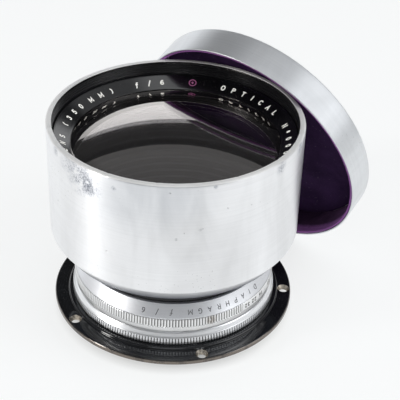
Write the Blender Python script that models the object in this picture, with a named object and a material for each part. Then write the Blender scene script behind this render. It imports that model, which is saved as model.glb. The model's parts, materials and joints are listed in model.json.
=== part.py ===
"""Large barrel-mounted lens with a hood, an iris diaphragm, a mounting flange and a
velvet-lined push-on cap leaning against the hood.

Metres, +Z up along the optical axis (towards the front glass). Origin: on the table, at
the bottom centre of the whole object's box (lens and cap). Dimensions below are in
millimetres and heights are measured from the flange's back face on the optical axis;
the "assembly" empty carries everything to its place over the origin.
"""
import bpy
import bmesh
from math import sin, cos, pi, radians, sqrt, atan2
from mathutils import Matrix, Vector

# ----------------------------------------------------------------------------
# Driving dimensions (millimetres, degrees)
# ----------------------------------------------------------------------------
MM = 0.001
SEG = 56                 # facets round the large turned pieces
SEG_CELL = 48            # front cell
SEG_IN = 36              # facets round hidden pieces
SEG_REAR_GLASS = 32
SEG_SCREW = 14
SHARP_ANGLE = 35.0       # edges sharper than this are not shaded smooth
GAP = 0.30               # assembly gap between neighbouring pieces

# hood
HOOD_R = 44.45
HOOD_TOP = 73.28
HOOD_IN_R = 42.36
HOOD_BASE = 31.49        # lower edge of the straight wall
BEVEL_R, BEVEL_Z = 40.81, 26.36   # bottom of the bevel under the hood

# mounting flange
FLANGE_R = 44.18
FLANGE_T = 1.80          # plate thickness
FLANGE_CHAMFER = 0.35
HUB_R, HUB_Z = 38.90, 2.85
HUB_CHAMFER = 0.45
HOLE_N = 5
HOLE_PCD_R = 41.45       # radius of the circle of hole centres
HOLE_R = 1.50
CSK_R = 2.30             # countersink radius at the plate's front face
HOLE_AZ0 = -146.0        # azimuth of the first hole
HOLE_SEG = 12

# barrel
BARREL_R = 33.40
BARREL_END = -4.05       # rear end, the lens stands on it
SHOULDER_R0, SHOULDER_Z0 = 36.23, 13.60
SHOULDER_R1, SHOULDER_Z1 = 33.78, 18.62
SHOULDER_BAND = 0.35     # straight band below the shoulder's taper
BORE_R = 32.60           # iris chamber
LEDGE_Z = 5.70           # floor of the iris chamber
REAR_BORE_R = 27.30
RING_BORE_R = 33.75      # bore of the flange and rings round the barrel

# iris rings
IRIS_RING_R = BORE_R - GAP
SEAT_Z0, SEAT_Z1 = LEDGE_Z + GAP, 6.80
CAM_Z0, CAM_Z1 = 11.30, 12.30
RETAINER_Z0, RETAINER_Z1 = CAM_Z1 + GAP, 13.70
SEAT_HOLE_R = 0.62       # clears a blade's pivot shaft
SLOT_HALF = 0.55         # half width of a cam slot
SLOT_STEPS = 9
SLOT_MARGIN = 0.9        # extra blade turn the slot allows at each end
CUT_OVER = 0.4           # cam slot cutters pass the ring's faces by this

# iris blades
BLADES = 12
BLADE_IN_R = 23.50       # clear radius, wide open
BLADE_OUT_R = 30.00
PIVOT_R = 30.90
BLADE_SPAN = 128.0       # arc of a blade
BLADE_T = 0.14
BLADE_Z0 = 7.10
BLADE_PITCH = 0.30       # each blade lies this much above the one before
BLADE_MAX = 36.0         # turn of a blade, wide open to smallest stop
RING_RATIO = 0.64        # blade turn per turn of the aperture ring
HEAD_START = -2.6        # inner edge ends here, on the pivot's far side
HEAD_OUTER_START = 2.0   # outer edge starts here, just past the lug
ARC_STEPS = 13
NECK_INSET, NECK_TURN = 1.6, 0.6  # corner between the inner edge and the lug
LUG_R = 1.25
SHAFT_R = 0.45
CRANK_L = 6.50
CRANK_DIR = 98.0         # from the outward radius, wide open
CRANK_Z0, CRANK_Z1 = 10.75, 11.05
CRANK_HUB_R, CRANK_END_R = 0.85, 0.65
PIN_R = 0.40

# drive screw of the aperture ring
DRIVE_AZ = -67.0         # wide open
DRIVE_Z = (CAM_Z0 + CAM_Z1) / 2
SCREW_R, SCREW_HOLE_R = 0.55, 0.72
RING_MAX = 56.0          # turn of the aperture ring
WINDOW_MARGIN = 2.2      # extra arc at each end of the barrel's window
WINDOW_HALF = 0.75       # half height of the window
WINDOW_STEPS = 20

# glass
FRONT_GLASS_R = 39.6
REAR_GLASS_R = 25.3
REAR_CELL_END = -3.7

# cap: centre of the mouth, direction from mouth to closed end
CAP_C = (25.887, 36.332, 40.712)
CAP_AZ, CAP_EL = 54.94, 19.527
CAP_R = 47.49
CAP_DEPTH = 12.61
CAP_WALL = 0.55
CAP_CHAMFER = 0.45
PILE_T = 0.90            # velvet with its backing
PILE_GAP = 0.15          # between velvet and shell
PILE_INSET = 0.25        # wall velvet starts this far inside the mouth


# ----------------------------------------------------------------------------
# Helpers
# ----------------------------------------------------------------------------
def polar(radius, angle, x=0.0, y=0.0):
    """Point at a radius and an angle (radians) round (x, y)."""
    return (x + radius * cos(angle), y + radius * sin(angle))


def rotated(point, angle):
    """Point turned about the optical axis by an angle in radians."""
    x, y = point
    return (x * cos(angle) - y * sin(angle), x * sin(angle) + y * cos(angle))


def blade_angles():
    """Number and azimuth (radians) of each blade's pivot."""
    return [(k + 1, 2 * pi * k / BLADES) for k in range(BLADES)]


def material(name, colour, roughness, metallic, alpha=1.0):
    mat = bpy.data.materials.new(name)
    mat.use_nodes = True
    inputs = mat.node_tree.nodes["Principled BSDF"].inputs
    inputs["Base Color"].default_value = (*colour, 1.0)
    inputs["Roughness"].default_value = roughness
    inputs["Metallic"].default_value = metallic
    inputs["Alpha"].default_value = alpha
    return mat


def link_object(name, data=None):
    """Object in the scene; an empty if it has no data."""
    ob = bpy.data.objects.new(name, data)
    bpy.context.scene.collection.objects.link(ob)
    return ob


def mesh_object(name, bm, mat):
    bmesh.ops.remove_doubles(bm, verts=bm.verts, dist=1e-7)
    bmesh.ops.recalc_face_normals(bm, faces=bm.faces)
    mesh = bpy.data.meshes.new(name)
    bm.to_mesh(mesh)
    bm.free()
    mesh.materials.append(mat)
    mesh.shade_smooth()
    mesh.set_sharp_from_angle(angle=radians(SHARP_ANGLE))
    return link_object(name, mesh)


def turned(name, profile, mat, seg=SEG, closed=True, angle=2 * pi, start=0.0, centre=(0.0, 0.0)):
    """Turn a profile of (radius, height) round a vertical axis through centre.

    Closed profiles make rings; an open profile must start and end on the axis.
    A part turn needs a closed profile and gets flat ends.
    """
    bm = bmesh.new()
    cx, cy = centre[0] * MM, centre[1] * MM
    verts = [bm.verts.new((*polar(r * MM, start, cx, cy), z * MM)) for r, z in profile]
    edges = [bm.edges.new(pair) for pair in zip(verts, verts[1:])]
    if closed:
        edges.append(bm.edges.new((verts[-1], verts[0])))
    full = abs(angle - 2 * pi) < 1e-9
    if not full:
        bm.faces.new(verts)
    bmesh.ops.spin(bm, geom=verts + edges, cent=(cx, cy, 0), axis=(0, 0, 1), angle=angle,
                   steps=seg, use_merge=full, use_duplicate=False)
    if not full:
        open_edges = [e for e in bm.edges if len(e.link_faces) < 2]
        bmesh.ops.holes_fill(bm, edges=open_edges, sides=0)
    return mesh_object(name, bm, mat)


def prism(name, outline, z0, z1, mat):
    """Extrude a flat outline of (x, y) from z0 to z1."""
    bm = bmesh.new()
    face = bm.faces.new([bm.verts.new((x * MM, y * MM, z0 * MM)) for x, y in outline])
    extruded = bmesh.ops.extrude_face_region(bm, geom=[face])["geom"]
    upper = [v for v in extruded if isinstance(v, bmesh.types.BMVert)]
    bmesh.ops.translate(bm, verts=upper, vec=(0, 0, (z1 - z0) * MM))
    return mesh_object(name, bm, mat)


def cylinder(name, radius, length, seg, placement, mat):
    """Cylinder centred on the origin along Z, then moved by the placement matrix."""
    bm = bmesh.new()
    bmesh.ops.create_cone(bm, cap_ends=True, segments=seg, radius1=radius * MM,
                          radius2=radius * MM, depth=length * MM, matrix=placement)
    return mesh_object(name, bm, mat)


def upright_rod(name, radius, z0, z1, seg, mat, x=0.0, y=0.0):
    placement = Matrix.Translation((x * MM, y * MM, (z0 + z1) / 2 * MM))
    return cylinder(name, radius, z1 - z0, seg, placement, mat)


def drive_rod(name, radius, start, end, mat):
    """Rod along the drive screw's axis, between two distances from the optical axis."""
    placement = (Matrix.Rotation(radians(DRIVE_AZ), 4, 'Z')
                 @ Matrix.Translation(((start + end) / 2 * MM, 0, DRIVE_Z * MM))
                 @ Matrix.Rotation(pi / 2, 4, 'Y'))
    return cylinder(name, radius, end - start, SEG_SCREW, placement, mat)


def boolean(ob, tool, operation='DIFFERENCE'):
    """Cut or join with a helper object, which is hidden from renders."""
    tool.hide_render = True
    tool.display_type = 'WIRE'
    modifier = ob.modifiers.new(operation.title() + "_" + tool.name, 'BOOLEAN')
    modifier.operation = operation
    modifier.object = tool
    modifier.solver = 'EXACT'


def glass_surface(edge_r, curvature_r, vertex_z, steps, sign):
    """Spherical surface from axis to edge; it rises (+1) or falls (-1) from its vertex."""
    radii = [edge_r * i / steps for i in range(steps + 1)]
    return [(r, vertex_z + sign * (curvature_r - sqrt(curvature_r * curvature_r - r * r)))
            for r in radii]


def lens_element(name, edge_r, upper, lower, mat, seg):
    """Element between two surfaces of (curvature radius, vertex height, steps, sign)."""
    profile = glass_surface(edge_r, *upper) + glass_surface(edge_r, *lower)[::-1]
    turned(name, profile, mat, seg, closed=False)


# ----------------------------------------------------------------------------
# Barrel, flange and outer rings
# ----------------------------------------------------------------------------
def build_barrel(mat):
    """Tube with the iris chamber, a tapered shoulder and a window for the drive screw."""
    barrel = turned("main_barrel", [
        (BARREL_R, BARREL_END), (BARREL_R, SHOULDER_Z0), (SHOULDER_R0, SHOULDER_Z0),
        (SHOULDER_R0, SHOULDER_Z0 + SHOULDER_BAND), (SHOULDER_R1, SHOULDER_Z1),
        (BORE_R, SHOULDER_Z1), (BORE_R, LEDGE_Z), (REAR_BORE_R, LEDGE_Z),
        (REAR_BORE_R, BARREL_END)], mat)
    r0, r1 = 31.0, 34.6      # past both sides of the tube wall
    z0, z1 = DRIVE_Z - WINDOW_HALF, DRIVE_Z + WINDOW_HALF
    window = turned("barrel_window_cutter", [(r0, z0), (r1, z0), (r1, z1), (r0, z1)], mat,
                    WINDOW_STEPS, angle=radians(RING_MAX + 2 * WINDOW_MARGIN),
                    start=radians(DRIVE_AZ - WINDOW_MARGIN))
    boolean(barrel, window)


def build_flange(mat):
    """Plate with a raised hub and countersunk mounting holes."""
    flange = turned("mounting_flange", [
        (RING_BORE_R, 0.0), (FLANGE_R, 0.0), (FLANGE_R, FLANGE_T - FLANGE_CHAMFER),
        (FLANGE_R - FLANGE_CHAMFER, FLANGE_T), (HUB_R, FLANGE_T),
        (HUB_R, HUB_Z - HUB_CHAMFER), (HUB_R - HUB_CHAMFER, HUB_Z), (RING_BORE_R, HUB_Z)], mat)
    # one turned tool: a straight hole opening into a 45 degree countersink
    below, above = 1.0, 0.6  # how far the tool passes the plate's faces
    hole_profile = [
        (0.0, -below), (HOLE_R, -below), (HOLE_R, FLANGE_T - (CSK_R - HOLE_R)),
        (CSK_R + above, FLANGE_T + above), (0.0, FLANGE_T + above)]
    for i in range(HOLE_N):
        centre = polar(HOLE_PCD_R, radians(HOLE_AZ0 + 360.0 / HOLE_N * i))
        tool = turned("flange_hole_cutter_%d" % (i + 1), hole_profile, mat, HOLE_SEG,
                      closed=False, centre=centre)
        boolean(flange, tool)


def build_lock_ring(mat):
    """Ring just above the flange."""
    turned("lock_ring", [
        (RING_BORE_R, 3.12), (37.15, 3.12), (37.48, 3.40), (37.56, 5.85), (37.10, 6.25),
        (36.55, 7.60), (36.35, 7.92), (RING_BORE_R, 7.92)], mat)


def build_aperture_ring(ring_mat, screw_mat):
    """Ring, and the screw joining it to the cam ring through the barrel's window."""
    ring = turned("aperture_ring", [
        (RING_BORE_R, 8.15), (36.30, 8.15), (36.45, 8.30), (36.45, 10.09), (36.67, 10.20),
        (36.67, 13.10), (36.45, 13.32), (RING_BORE_R, 13.32)], ring_mat)
    boolean(ring, drive_rod("ring_hole_cutter", SCREW_HOLE_R, 33.0, 37.6, ring_mat))
    drive_rod("aperture_drive_screw", SCREW_R, 31.75, 36.35, screw_mat)


# ----------------------------------------------------------------------------
# Iris: seat plate, cam ring, blades, retainer
# ----------------------------------------------------------------------------
def iris_ring(name, inner_r, z0, z1, mat, upper_inner_r=None):
    """Ring in the iris chamber; its bore may widen or narrow to upper_inner_r."""
    return turned(name, [(inner_r, z0), (IRIS_RING_R, z0), (IRIS_RING_R, z1),
                         (upper_inner_r or inner_r, z1)], mat, SEG_IN)


def build_seat_plate(mat):
    """Plate under the blades, with a hole for each pivot shaft."""
    seat = iris_ring("iris_seat_plate", BLADE_IN_R + 0.2, SEAT_Z0, SEAT_Z1, mat)
    for number, azimuth in blade_angles():
        x, y = polar(PIVOT_R, azimuth)
        boolean(seat, upright_rod("seat_hole_cutter_%d" % number, SEAT_HOLE_R, 5.5, 7.2, 8,
                                  mat, x, y))


def slot_outline():
    """Slot of the first blade: its drive pin's path seen from the turning cam ring."""
    path = []
    for i in range(SLOT_STEPS + 1):
        turn = radians(-SLOT_MARGIN + (BLADE_MAX + 2 * SLOT_MARGIN) * i / SLOT_STEPS)
        pin = polar(CRANK_L, radians(CRANK_DIR) + turn, PIVOT_R)
        path.append(rotated(pin, -turn / RING_RATIO))
    left, right = [], []
    for i, (x, y) in enumerate(path):
        x0, y0 = path[max(i - 1, 0)]
        x1, y1 = path[min(i + 1, SLOT_STEPS)]
        dx, dy = x1 - x0, y1 - y0
        length = sqrt(dx * dx + dy * dy)
        side_x, side_y = -dy / length * SLOT_HALF, dx / length * SLOT_HALF
        left.append((x + side_x, y + side_y))
        right.append((x - side_x, y - side_y))

    def rounded_end(before, end):
        heading = atan2(end[1] - before[1], end[0] - before[0])
        return [polar(SLOT_HALF, heading + radians(s), *end) for s in (45, 0, -45)]

    return left + rounded_end(path[-2], path[-1]) + right[::-1] + rounded_end(path[1], path[0])


def build_cam_ring(mat):
    """Ring above the blades, with a slot for each drive pin and a drive screw hole."""
    cam = iris_ring("iris_cam_ring", BLADE_IN_R + 0.7, CAM_Z0, CAM_Z1, mat)
    outline = slot_outline()
    for number, azimuth in blade_angles():
        points = [rotated(point, azimuth) for point in outline]
        boolean(cam, prism("cam_slot_cutter_%d" % number, points,
                           CAM_Z0 - CUT_OVER, CAM_Z1 + CUT_OVER, mat))
    boolean(cam, drive_rod("cam_screw_hole_cutter", SCREW_HOLE_R, 31.50, 33.2, mat))


def blade_outline():
    """Sickle seen from its pivot: an arc band about the optical axis with a round lug."""
    head, head_outer = radians(HEAD_START), radians(HEAD_OUTER_START)
    tip = radians(BLADE_SPAN)
    points = [polar(BLADE_OUT_R, head_outer + (tip - head_outer) * i / ARC_STEPS)
              for i in range(ARC_STEPS + 1)]
    middle_r = (BLADE_OUT_R + BLADE_IN_R) / 2
    half_width = (BLADE_OUT_R - BLADE_IN_R) / 2
    for s in (50, 0, -50):       # rounded tip
        points.append(polar(middle_r + half_width * sin(radians(s)),
                            tip + half_width * cos(radians(s)) / middle_r))
    points += [polar(BLADE_IN_R, tip + (head - tip) * i / ARC_STEPS)
               for i in range(ARC_STEPS + 1)]
    points.append(polar(BLADE_OUT_R - NECK_INSET, head - radians(NECK_TURN)))
    points += [polar(LUG_R, radians(s), PIVOT_R) for s in (-105, -60, -15, 30, 70)]
    return [(x - PIVOT_R, y) for x, y in points]


def build_blades(mat):
    """Blades with shaft, crank and drive pin; each blade's origin is its pivot axis."""
    outline = blade_outline()
    crank_angle = radians(CRANK_DIR)
    pin_x, pin_y = polar(CRANK_L, crank_angle)
    crank_outline = (
        [polar(CRANK_HUB_R, crank_angle + radians(s)) for s in (90, 150, 210, 270)]
        + [polar(CRANK_END_R, crank_angle + radians(s), pin_x, pin_y)
           for s in (-90, -30, 30, 90)])
    for number, azimuth in blade_angles():
        name = "iris_blade_%02d" % number
        z = BLADE_Z0 + BLADE_PITCH * (number - 1)
        blade = prism(name, outline, z, z + BLADE_T, mat)
        shaft = upright_rod(name + "_shaft_guide", SHAFT_R, 6.15, CRANK_Z1 - 0.05, 8, mat)
        crank = prism(name + "_crank_guide", crank_outline, CRANK_Z0, CRANK_Z1, mat)
        pin = upright_rod(name + "_pin_guide", PIN_R, CRANK_Z0 + 0.1, CAM_Z1 - 0.15, 6, mat,
                          pin_x, pin_y)
        pivot = link_object("pivot_%02d" % number)
        pivot.location = (*polar(PIVOT_R * MM, azimuth), 0)
        pivot.rotation_euler = (0, 0, azimuth)
        blade.parent = pivot
        for guide in (shaft, crank, pin):
            guide.parent = pivot
            boolean(blade, guide, 'UNION')


def build_iris_retainer(mat):
    """Ring above the cam ring, its bore widening upwards."""
    iris_ring("iris_retainer", BLADE_IN_R + 0.7, RETAINER_Z0, RETAINER_Z1, mat,
              upper_inner_r=BLADE_IN_R + 1.6)


# ----------------------------------------------------------------------------
# Front cell, hood, name ring and glass
# ----------------------------------------------------------------------------
def build_front_cell(mat):
    """Stepped, widening tube inside the barrel's front and the hood."""
    turned("front_cell", [
        (32.25, 14.6), (32.25, 18.95), (33.00, 18.95), (33.00, 28.3), (37.6, 28.3),
        (37.6, 30.2), (41.9, 49.0), (41.9, 63.4), (40.0, 63.4), (40.0, 53.5),
        (37.9, 53.5), (37.9, 48.6), (36.0, 31.0), (30.9, 26.0), (30.9, 14.6)], mat, SEG_CELL)


def build_hood(mat):
    """Straight wall with a bevelled base."""
    turned("hood", [
        (HOOD_IN_R, HOOD_TOP), (HOOD_R, HOOD_TOP), (HOOD_R, HOOD_BASE), (BEVEL_R, BEVEL_Z),
        (33.35, BEVEL_Z), (33.35, 28.0), (39.6, 28.0), (HOOD_IN_R, 32.2)], mat)


def build_name_ring(mat):
    """Conical ring round the front glass."""
    turned("name_ring", [
        (42.02, 68.14), (36.30, 64.78), (36.30, 64.62), (39.95, 63.62), (42.02, 63.95)], mat)


def build_front_glass(mat):
    """Two meniscus elements, both bulging upwards, a gap apart."""
    joint_z = 66.54          # back vertex of the crown
    lens_element("front_crown_element", FRONT_GLASS_R, (104.0, 71.04, 5, -1),
                 (104.0, joint_z, 4, -1), mat, SEG_IN)
    lens_element("front_flint_element", FRONT_GLASS_R, (104.0, joint_z - GAP, 4, -1),
                 (100.0, 61.94, 4, -1), mat, SEG_IN)


# ----------------------------------------------------------------------------
# Rear cell and glass
# ----------------------------------------------------------------------------
def build_rear_cell(mat):
    """Tube with an inward lip at its upper end."""
    turned("rear_cell", [
        (25.6, REAR_CELL_END), (27.0, REAR_CELL_END), (27.0, 5.35), (24.6, 5.35),
        (24.6, 4.4), (25.6, 4.4)], mat, SEG_IN)


def build_rear_glass(mat):
    """A flint hollow on top, and a crown below it bulging both ways, a gap apart."""
    joint_z = 2.4            # back vertex of the flint
    lens_element("rear_flint_element", REAR_GLASS_R, (640.0, 3.6, 2, 1),
                 (130.0, joint_z, 3, -1), mat, SEG_REAR_GLASS)
    lens_element("rear_crown_element", REAR_GLASS_R, (130.0, joint_z - GAP, 3, -1),
                 (360.0, -2.9, 2, 1), mat, SEG_REAR_GLASS)


def build_rear_retaining_ring(mat):
    """Small ring at the rear end of the rear cell."""
    turned("rear_retaining_ring", [
        (23.8, REAR_CELL_END), (25.3, REAR_CELL_END), (25.3, -2.5), (24.1, -2.5)], mat, SEG_IN)


# ----------------------------------------------------------------------------
# Cap
# ----------------------------------------------------------------------------
def cap_direction():
    """Unit vector from the cap's mouth to its closed end."""
    azimuth, elevation = radians(CAP_AZ), radians(CAP_EL)
    return Vector((cos(elevation) * cos(azimuth), cos(elevation) * sin(azimuth),
                   sin(elevation)))


def build_cap(shell_mat, velvet_mat):
    """Cup with velvet on its wall and floor; in its frame the mouth is at z = 0."""
    frame = link_object("cap_frame")
    frame.rotation_mode = 'QUATERNION'
    frame.rotation_quaternion = cap_direction().to_track_quat('Z', 'Y')
    frame.location = Vector(CAP_C) * MM

    inner_r = CAP_R - CAP_WALL
    floor_z = CAP_DEPTH - CAP_WALL
    shell = turned("cap_shell", [
        (0, floor_z), (inner_r, floor_z), (inner_r, 0.0), (CAP_R, 0.0),
        (CAP_R, CAP_DEPTH - CAP_CHAMFER), (CAP_R - CAP_CHAMFER, CAP_DEPTH),
        (0, CAP_DEPTH)], shell_mat, closed=False)

    outer_r = inner_r - PILE_GAP
    pile_in_r = outer_r - PILE_T
    pile_end = floor_z - PILE_GAP
    wall = turned("cap_wall_velvet", [
        (pile_in_r, PILE_INSET), (outer_r, PILE_INSET), (outer_r, pile_end),
        (pile_in_r, pile_end)], velvet_mat, SEG_IN)
    disc_r = pile_in_r - GAP
    disc = turned("cap_disc_velvet", [
        (0, pile_end - PILE_T), (disc_r, pile_end - PILE_T), (disc_r, pile_end),
        (0, pile_end)], velvet_mat, SEG_IN, closed=False)
    for ob in (shell, wall, disc):
        ob.parent = frame


# ----------------------------------------------------------------------------
# Placing
# ----------------------------------------------------------------------------
def place_assembly():
    """Stand everything on the table with its box centred over the origin."""
    direction = cap_direction()

    def box_centre(axis):
        """Midway between the hood's low side and the tilted cap's furthest reach."""
        along = direction[axis]
        reach = CAP_C[axis] + max(0.0, CAP_DEPTH * along) + CAP_R * sqrt(1 - along * along)
        return (reach - HOOD_R) / 2

    assembly = link_object("assembly")
    assembly.location = (-box_centre(0) * MM, -box_centre(1) * MM, -BARREL_END * MM)
    for ob in list(bpy.data.objects):
        if ob.parent is None and ob is not assembly:
            ob.parent = assembly


def build():
    for ob in list(bpy.data.objects):
        bpy.data.objects.remove(ob, do_unlink=True)

    cell_black = material("cell_black", colour=(0.022, 0.022, 0.024), roughness=0.55,
                          metallic=0.1)
    ring_alu = material("bright_ring_aluminium", colour=(0.82, 0.83, 0.85), roughness=0.26,
                        metallic=1.0)
    brass = material("iris_brass_black", colour=(0.08, 0.07, 0.05), roughness=0.50,
                     metallic=0.7)

    build_barrel(material("barrel_aluminium", colour=(0.80, 0.81, 0.83), roughness=0.28,
                          metallic=1.0))
    build_flange(material("flange_black", colour=(0.018, 0.018, 0.020), roughness=0.30,
                          metallic=0.4))
    build_lock_ring(ring_alu)
    build_aperture_ring(ring_alu, material("screw_steel", colour=(0.55, 0.55, 0.56),
                                           roughness=0.35, metallic=1.0))
    build_seat_plate(brass)
    build_cam_ring(brass)
    build_blades(material("iris_blade_steel", colour=(0.045, 0.045, 0.050), roughness=0.45,
                          metallic=0.6))
    build_iris_retainer(cell_black)
    build_front_cell(cell_black)
    build_hood(material("satin_aluminium", colour=(0.78, 0.79, 0.80), roughness=0.32,
                        metallic=1.0))
    build_name_ring(material("name_ring_black", colour=(0.015, 0.015, 0.017), roughness=0.38,
                             metallic=0.3))
    build_front_glass(material("front_glass", colour=(0.035, 0.032, 0.040), roughness=0.05,
                               metallic=0.0, alpha=0.35))
    build_rear_cell(cell_black)
    build_rear_glass(material("rear_glass", colour=(0.50, 0.52, 0.55), roughness=0.05,
                              metallic=0.0, alpha=0.35))
    build_rear_retaining_ring(cell_black)
    build_cap(material("cap_aluminium", colour=(0.78, 0.79, 0.80), roughness=0.35,
                       metallic=1.0),
              material("purple_velvet", colour=(0.045, 0.015, 0.075), roughness=0.95,
                       metallic=0.0))
    place_assembly()


build()
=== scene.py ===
"""A large lens with a knurled aperture ring and an iris, and a velvet-lined cap beside it.

The lens stands upright: its optical axis is vertical and its front glass and hood are at the
top (+Z). Lens pieces are drawn in millimetres round that axis, with height 0 at the back
face of the mounting flange. The cap is tilted and is drawn round its own axis, Z running from
the mouth to the closed face. Azimuths are in degrees, anticlockwise from +X seen from above.
"""
import json
import math
from math import sin, cos, pi, radians, sqrt, atan2

import bpy
import bmesh
from mathutils import Matrix, Vector, noise


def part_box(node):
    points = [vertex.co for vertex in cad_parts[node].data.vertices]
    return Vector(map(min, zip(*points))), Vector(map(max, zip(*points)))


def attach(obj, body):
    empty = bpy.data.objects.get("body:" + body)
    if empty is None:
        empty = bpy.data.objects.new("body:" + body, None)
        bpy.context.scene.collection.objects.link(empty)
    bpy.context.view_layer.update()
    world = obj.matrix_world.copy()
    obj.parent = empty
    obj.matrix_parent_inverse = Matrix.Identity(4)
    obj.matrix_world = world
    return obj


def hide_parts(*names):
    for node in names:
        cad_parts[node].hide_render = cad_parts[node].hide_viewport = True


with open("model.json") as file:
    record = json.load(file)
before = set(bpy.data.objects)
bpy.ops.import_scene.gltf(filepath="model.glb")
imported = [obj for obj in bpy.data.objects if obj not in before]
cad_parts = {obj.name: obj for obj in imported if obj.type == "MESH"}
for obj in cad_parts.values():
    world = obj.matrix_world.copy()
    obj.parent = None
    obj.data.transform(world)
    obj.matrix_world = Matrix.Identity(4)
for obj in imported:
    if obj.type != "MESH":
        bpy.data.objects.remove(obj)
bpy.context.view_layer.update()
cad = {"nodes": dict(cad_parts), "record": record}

MILLI = 0.001
joints = {joint["name"]: joint for joint in cad["record"]["behaviour"]["joints"]}
mounts = {mount["name"]: mount for mount in cad["record"]["mounts"]}
AXIS_X, AXIS_Y = joints["aperture_ring_turn"]["pos_m"][:2]
FLANGE_Z = mounts["flange_back"]["pos_m"][2]
AXIS = Vector((AXIS_X, AXIS_Y, FLANGE_Z))

# Driving sizes, mm
HOOD_R, HOOD_TOP, HOOD_BORE = 44.45, 73.28, 42.36
CAP_R, CAP_DEPTH, CAP_WALL = 47.49, 12.61, 0.55
CAP_BORE = CAP_R - CAP_WALL
CAP_FLOOR = CAP_DEPTH - CAP_WALL

# The cap's own axes, with the origin in the middle of its mouth
cap_axis = Vector(joints["cap_lift"]["axis"]).normalized()
cap_lo, cap_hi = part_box("cap_shell")
cap_mouth = (cap_lo + cap_hi) / 2 - cap_axis * (CAP_DEPTH / 2 * MILLI)
CAP_AXES = (Matrix.Translation(cap_mouth)
            @ cap_axis.to_track_quat('Z', 'Y').to_matrix().to_4x4())

# The drive screw's place follows its CAD piece
screw_lo, screw_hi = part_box("aperture_drive_screw")
DRIVE_AZ = math.degrees(atan2((screw_lo.y + screw_hi.y) / 2 - AXIS_Y,
                              (screw_lo.x + screw_hi.x) / 2 - AXIS_X))
DRIVE_Z = ((screw_lo.z + screw_hi.z) / 2 - FLANGE_Z) / MILLI

scene = bpy.context.scene
scene.view_settings.view_transform = 'Standard'


def polar(radius, angle, z):
    """Point in metres from a radius and height in mm and an angle in radians."""
    return (radius * cos(angle) * MILLI, radius * sin(angle) * MILLI, z * MILLI)


def new_object(name, data):
    piece = bpy.data.objects.new(name, data)
    scene.collection.objects.link(piece)
    return piece


# ---- Node helpers ----


class Net:
    """Short-hand for building a node tree. Values may be numbers, tuples or sockets."""

    def __init__(self, tree):
        self.tree = tree
        tree.nodes.clear()

    def node(self, kind, **settings):
        node = self.tree.nodes.new("ShaderNode" + kind)
        for key, value in settings.items():
            setattr(node, key, value)
        return node

    def put(self, socket, value):
        if isinstance(value, bpy.types.NodeSocket):
            self.tree.links.new(value, socket)
            return
        if isinstance(value, tuple) and len(value) == 3 and socket.type == 'RGBA':
            value = (*value, 1.0)
        socket.default_value = value

    def build(self, kind, settings=None, **inputs):
        """Node with inputs set by name (_ for a space); gives its first output."""
        node = self.node(kind, **(settings or {}))
        for key, value in inputs.items():
            self.put(node.inputs[key.replace("_", " ")], value)
        return node.outputs[0]

    def indexed(self, kind, *inputs, **settings):
        """Node with inputs set in order; gives its first output."""
        node = self.node(kind, **settings)
        for socket, value in zip(node.inputs, inputs):
            self.put(socket, value)
        return node.outputs[0]

    def math(self, operation, *values, clamp=False):
        return self.indexed("Math", *values, operation=operation, use_clamp=clamp)

    def add(self, first, second):
        return self.math('ADD', first, second)

    def sub(self, first, second):
        return self.math('SUBTRACT', first, second)

    def mul(self, first, second, clamp=False):
        return self.math('MULTIPLY', first, second, clamp=clamp)

    def remap(self, value, over, to=(0.0, 1.0)):
        """Carry the range `over` linearly to the range `to`, clamped."""
        return self.indexed("MapRange", value, *over, *to)

    def sep(self, vector):
        node = self.node("SeparateXYZ")
        self.put(node.inputs[0], vector)
        return node.outputs

    def comb(self, x, y, z):
        return self.indexed("CombineXYZ", x, y, z)


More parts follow.
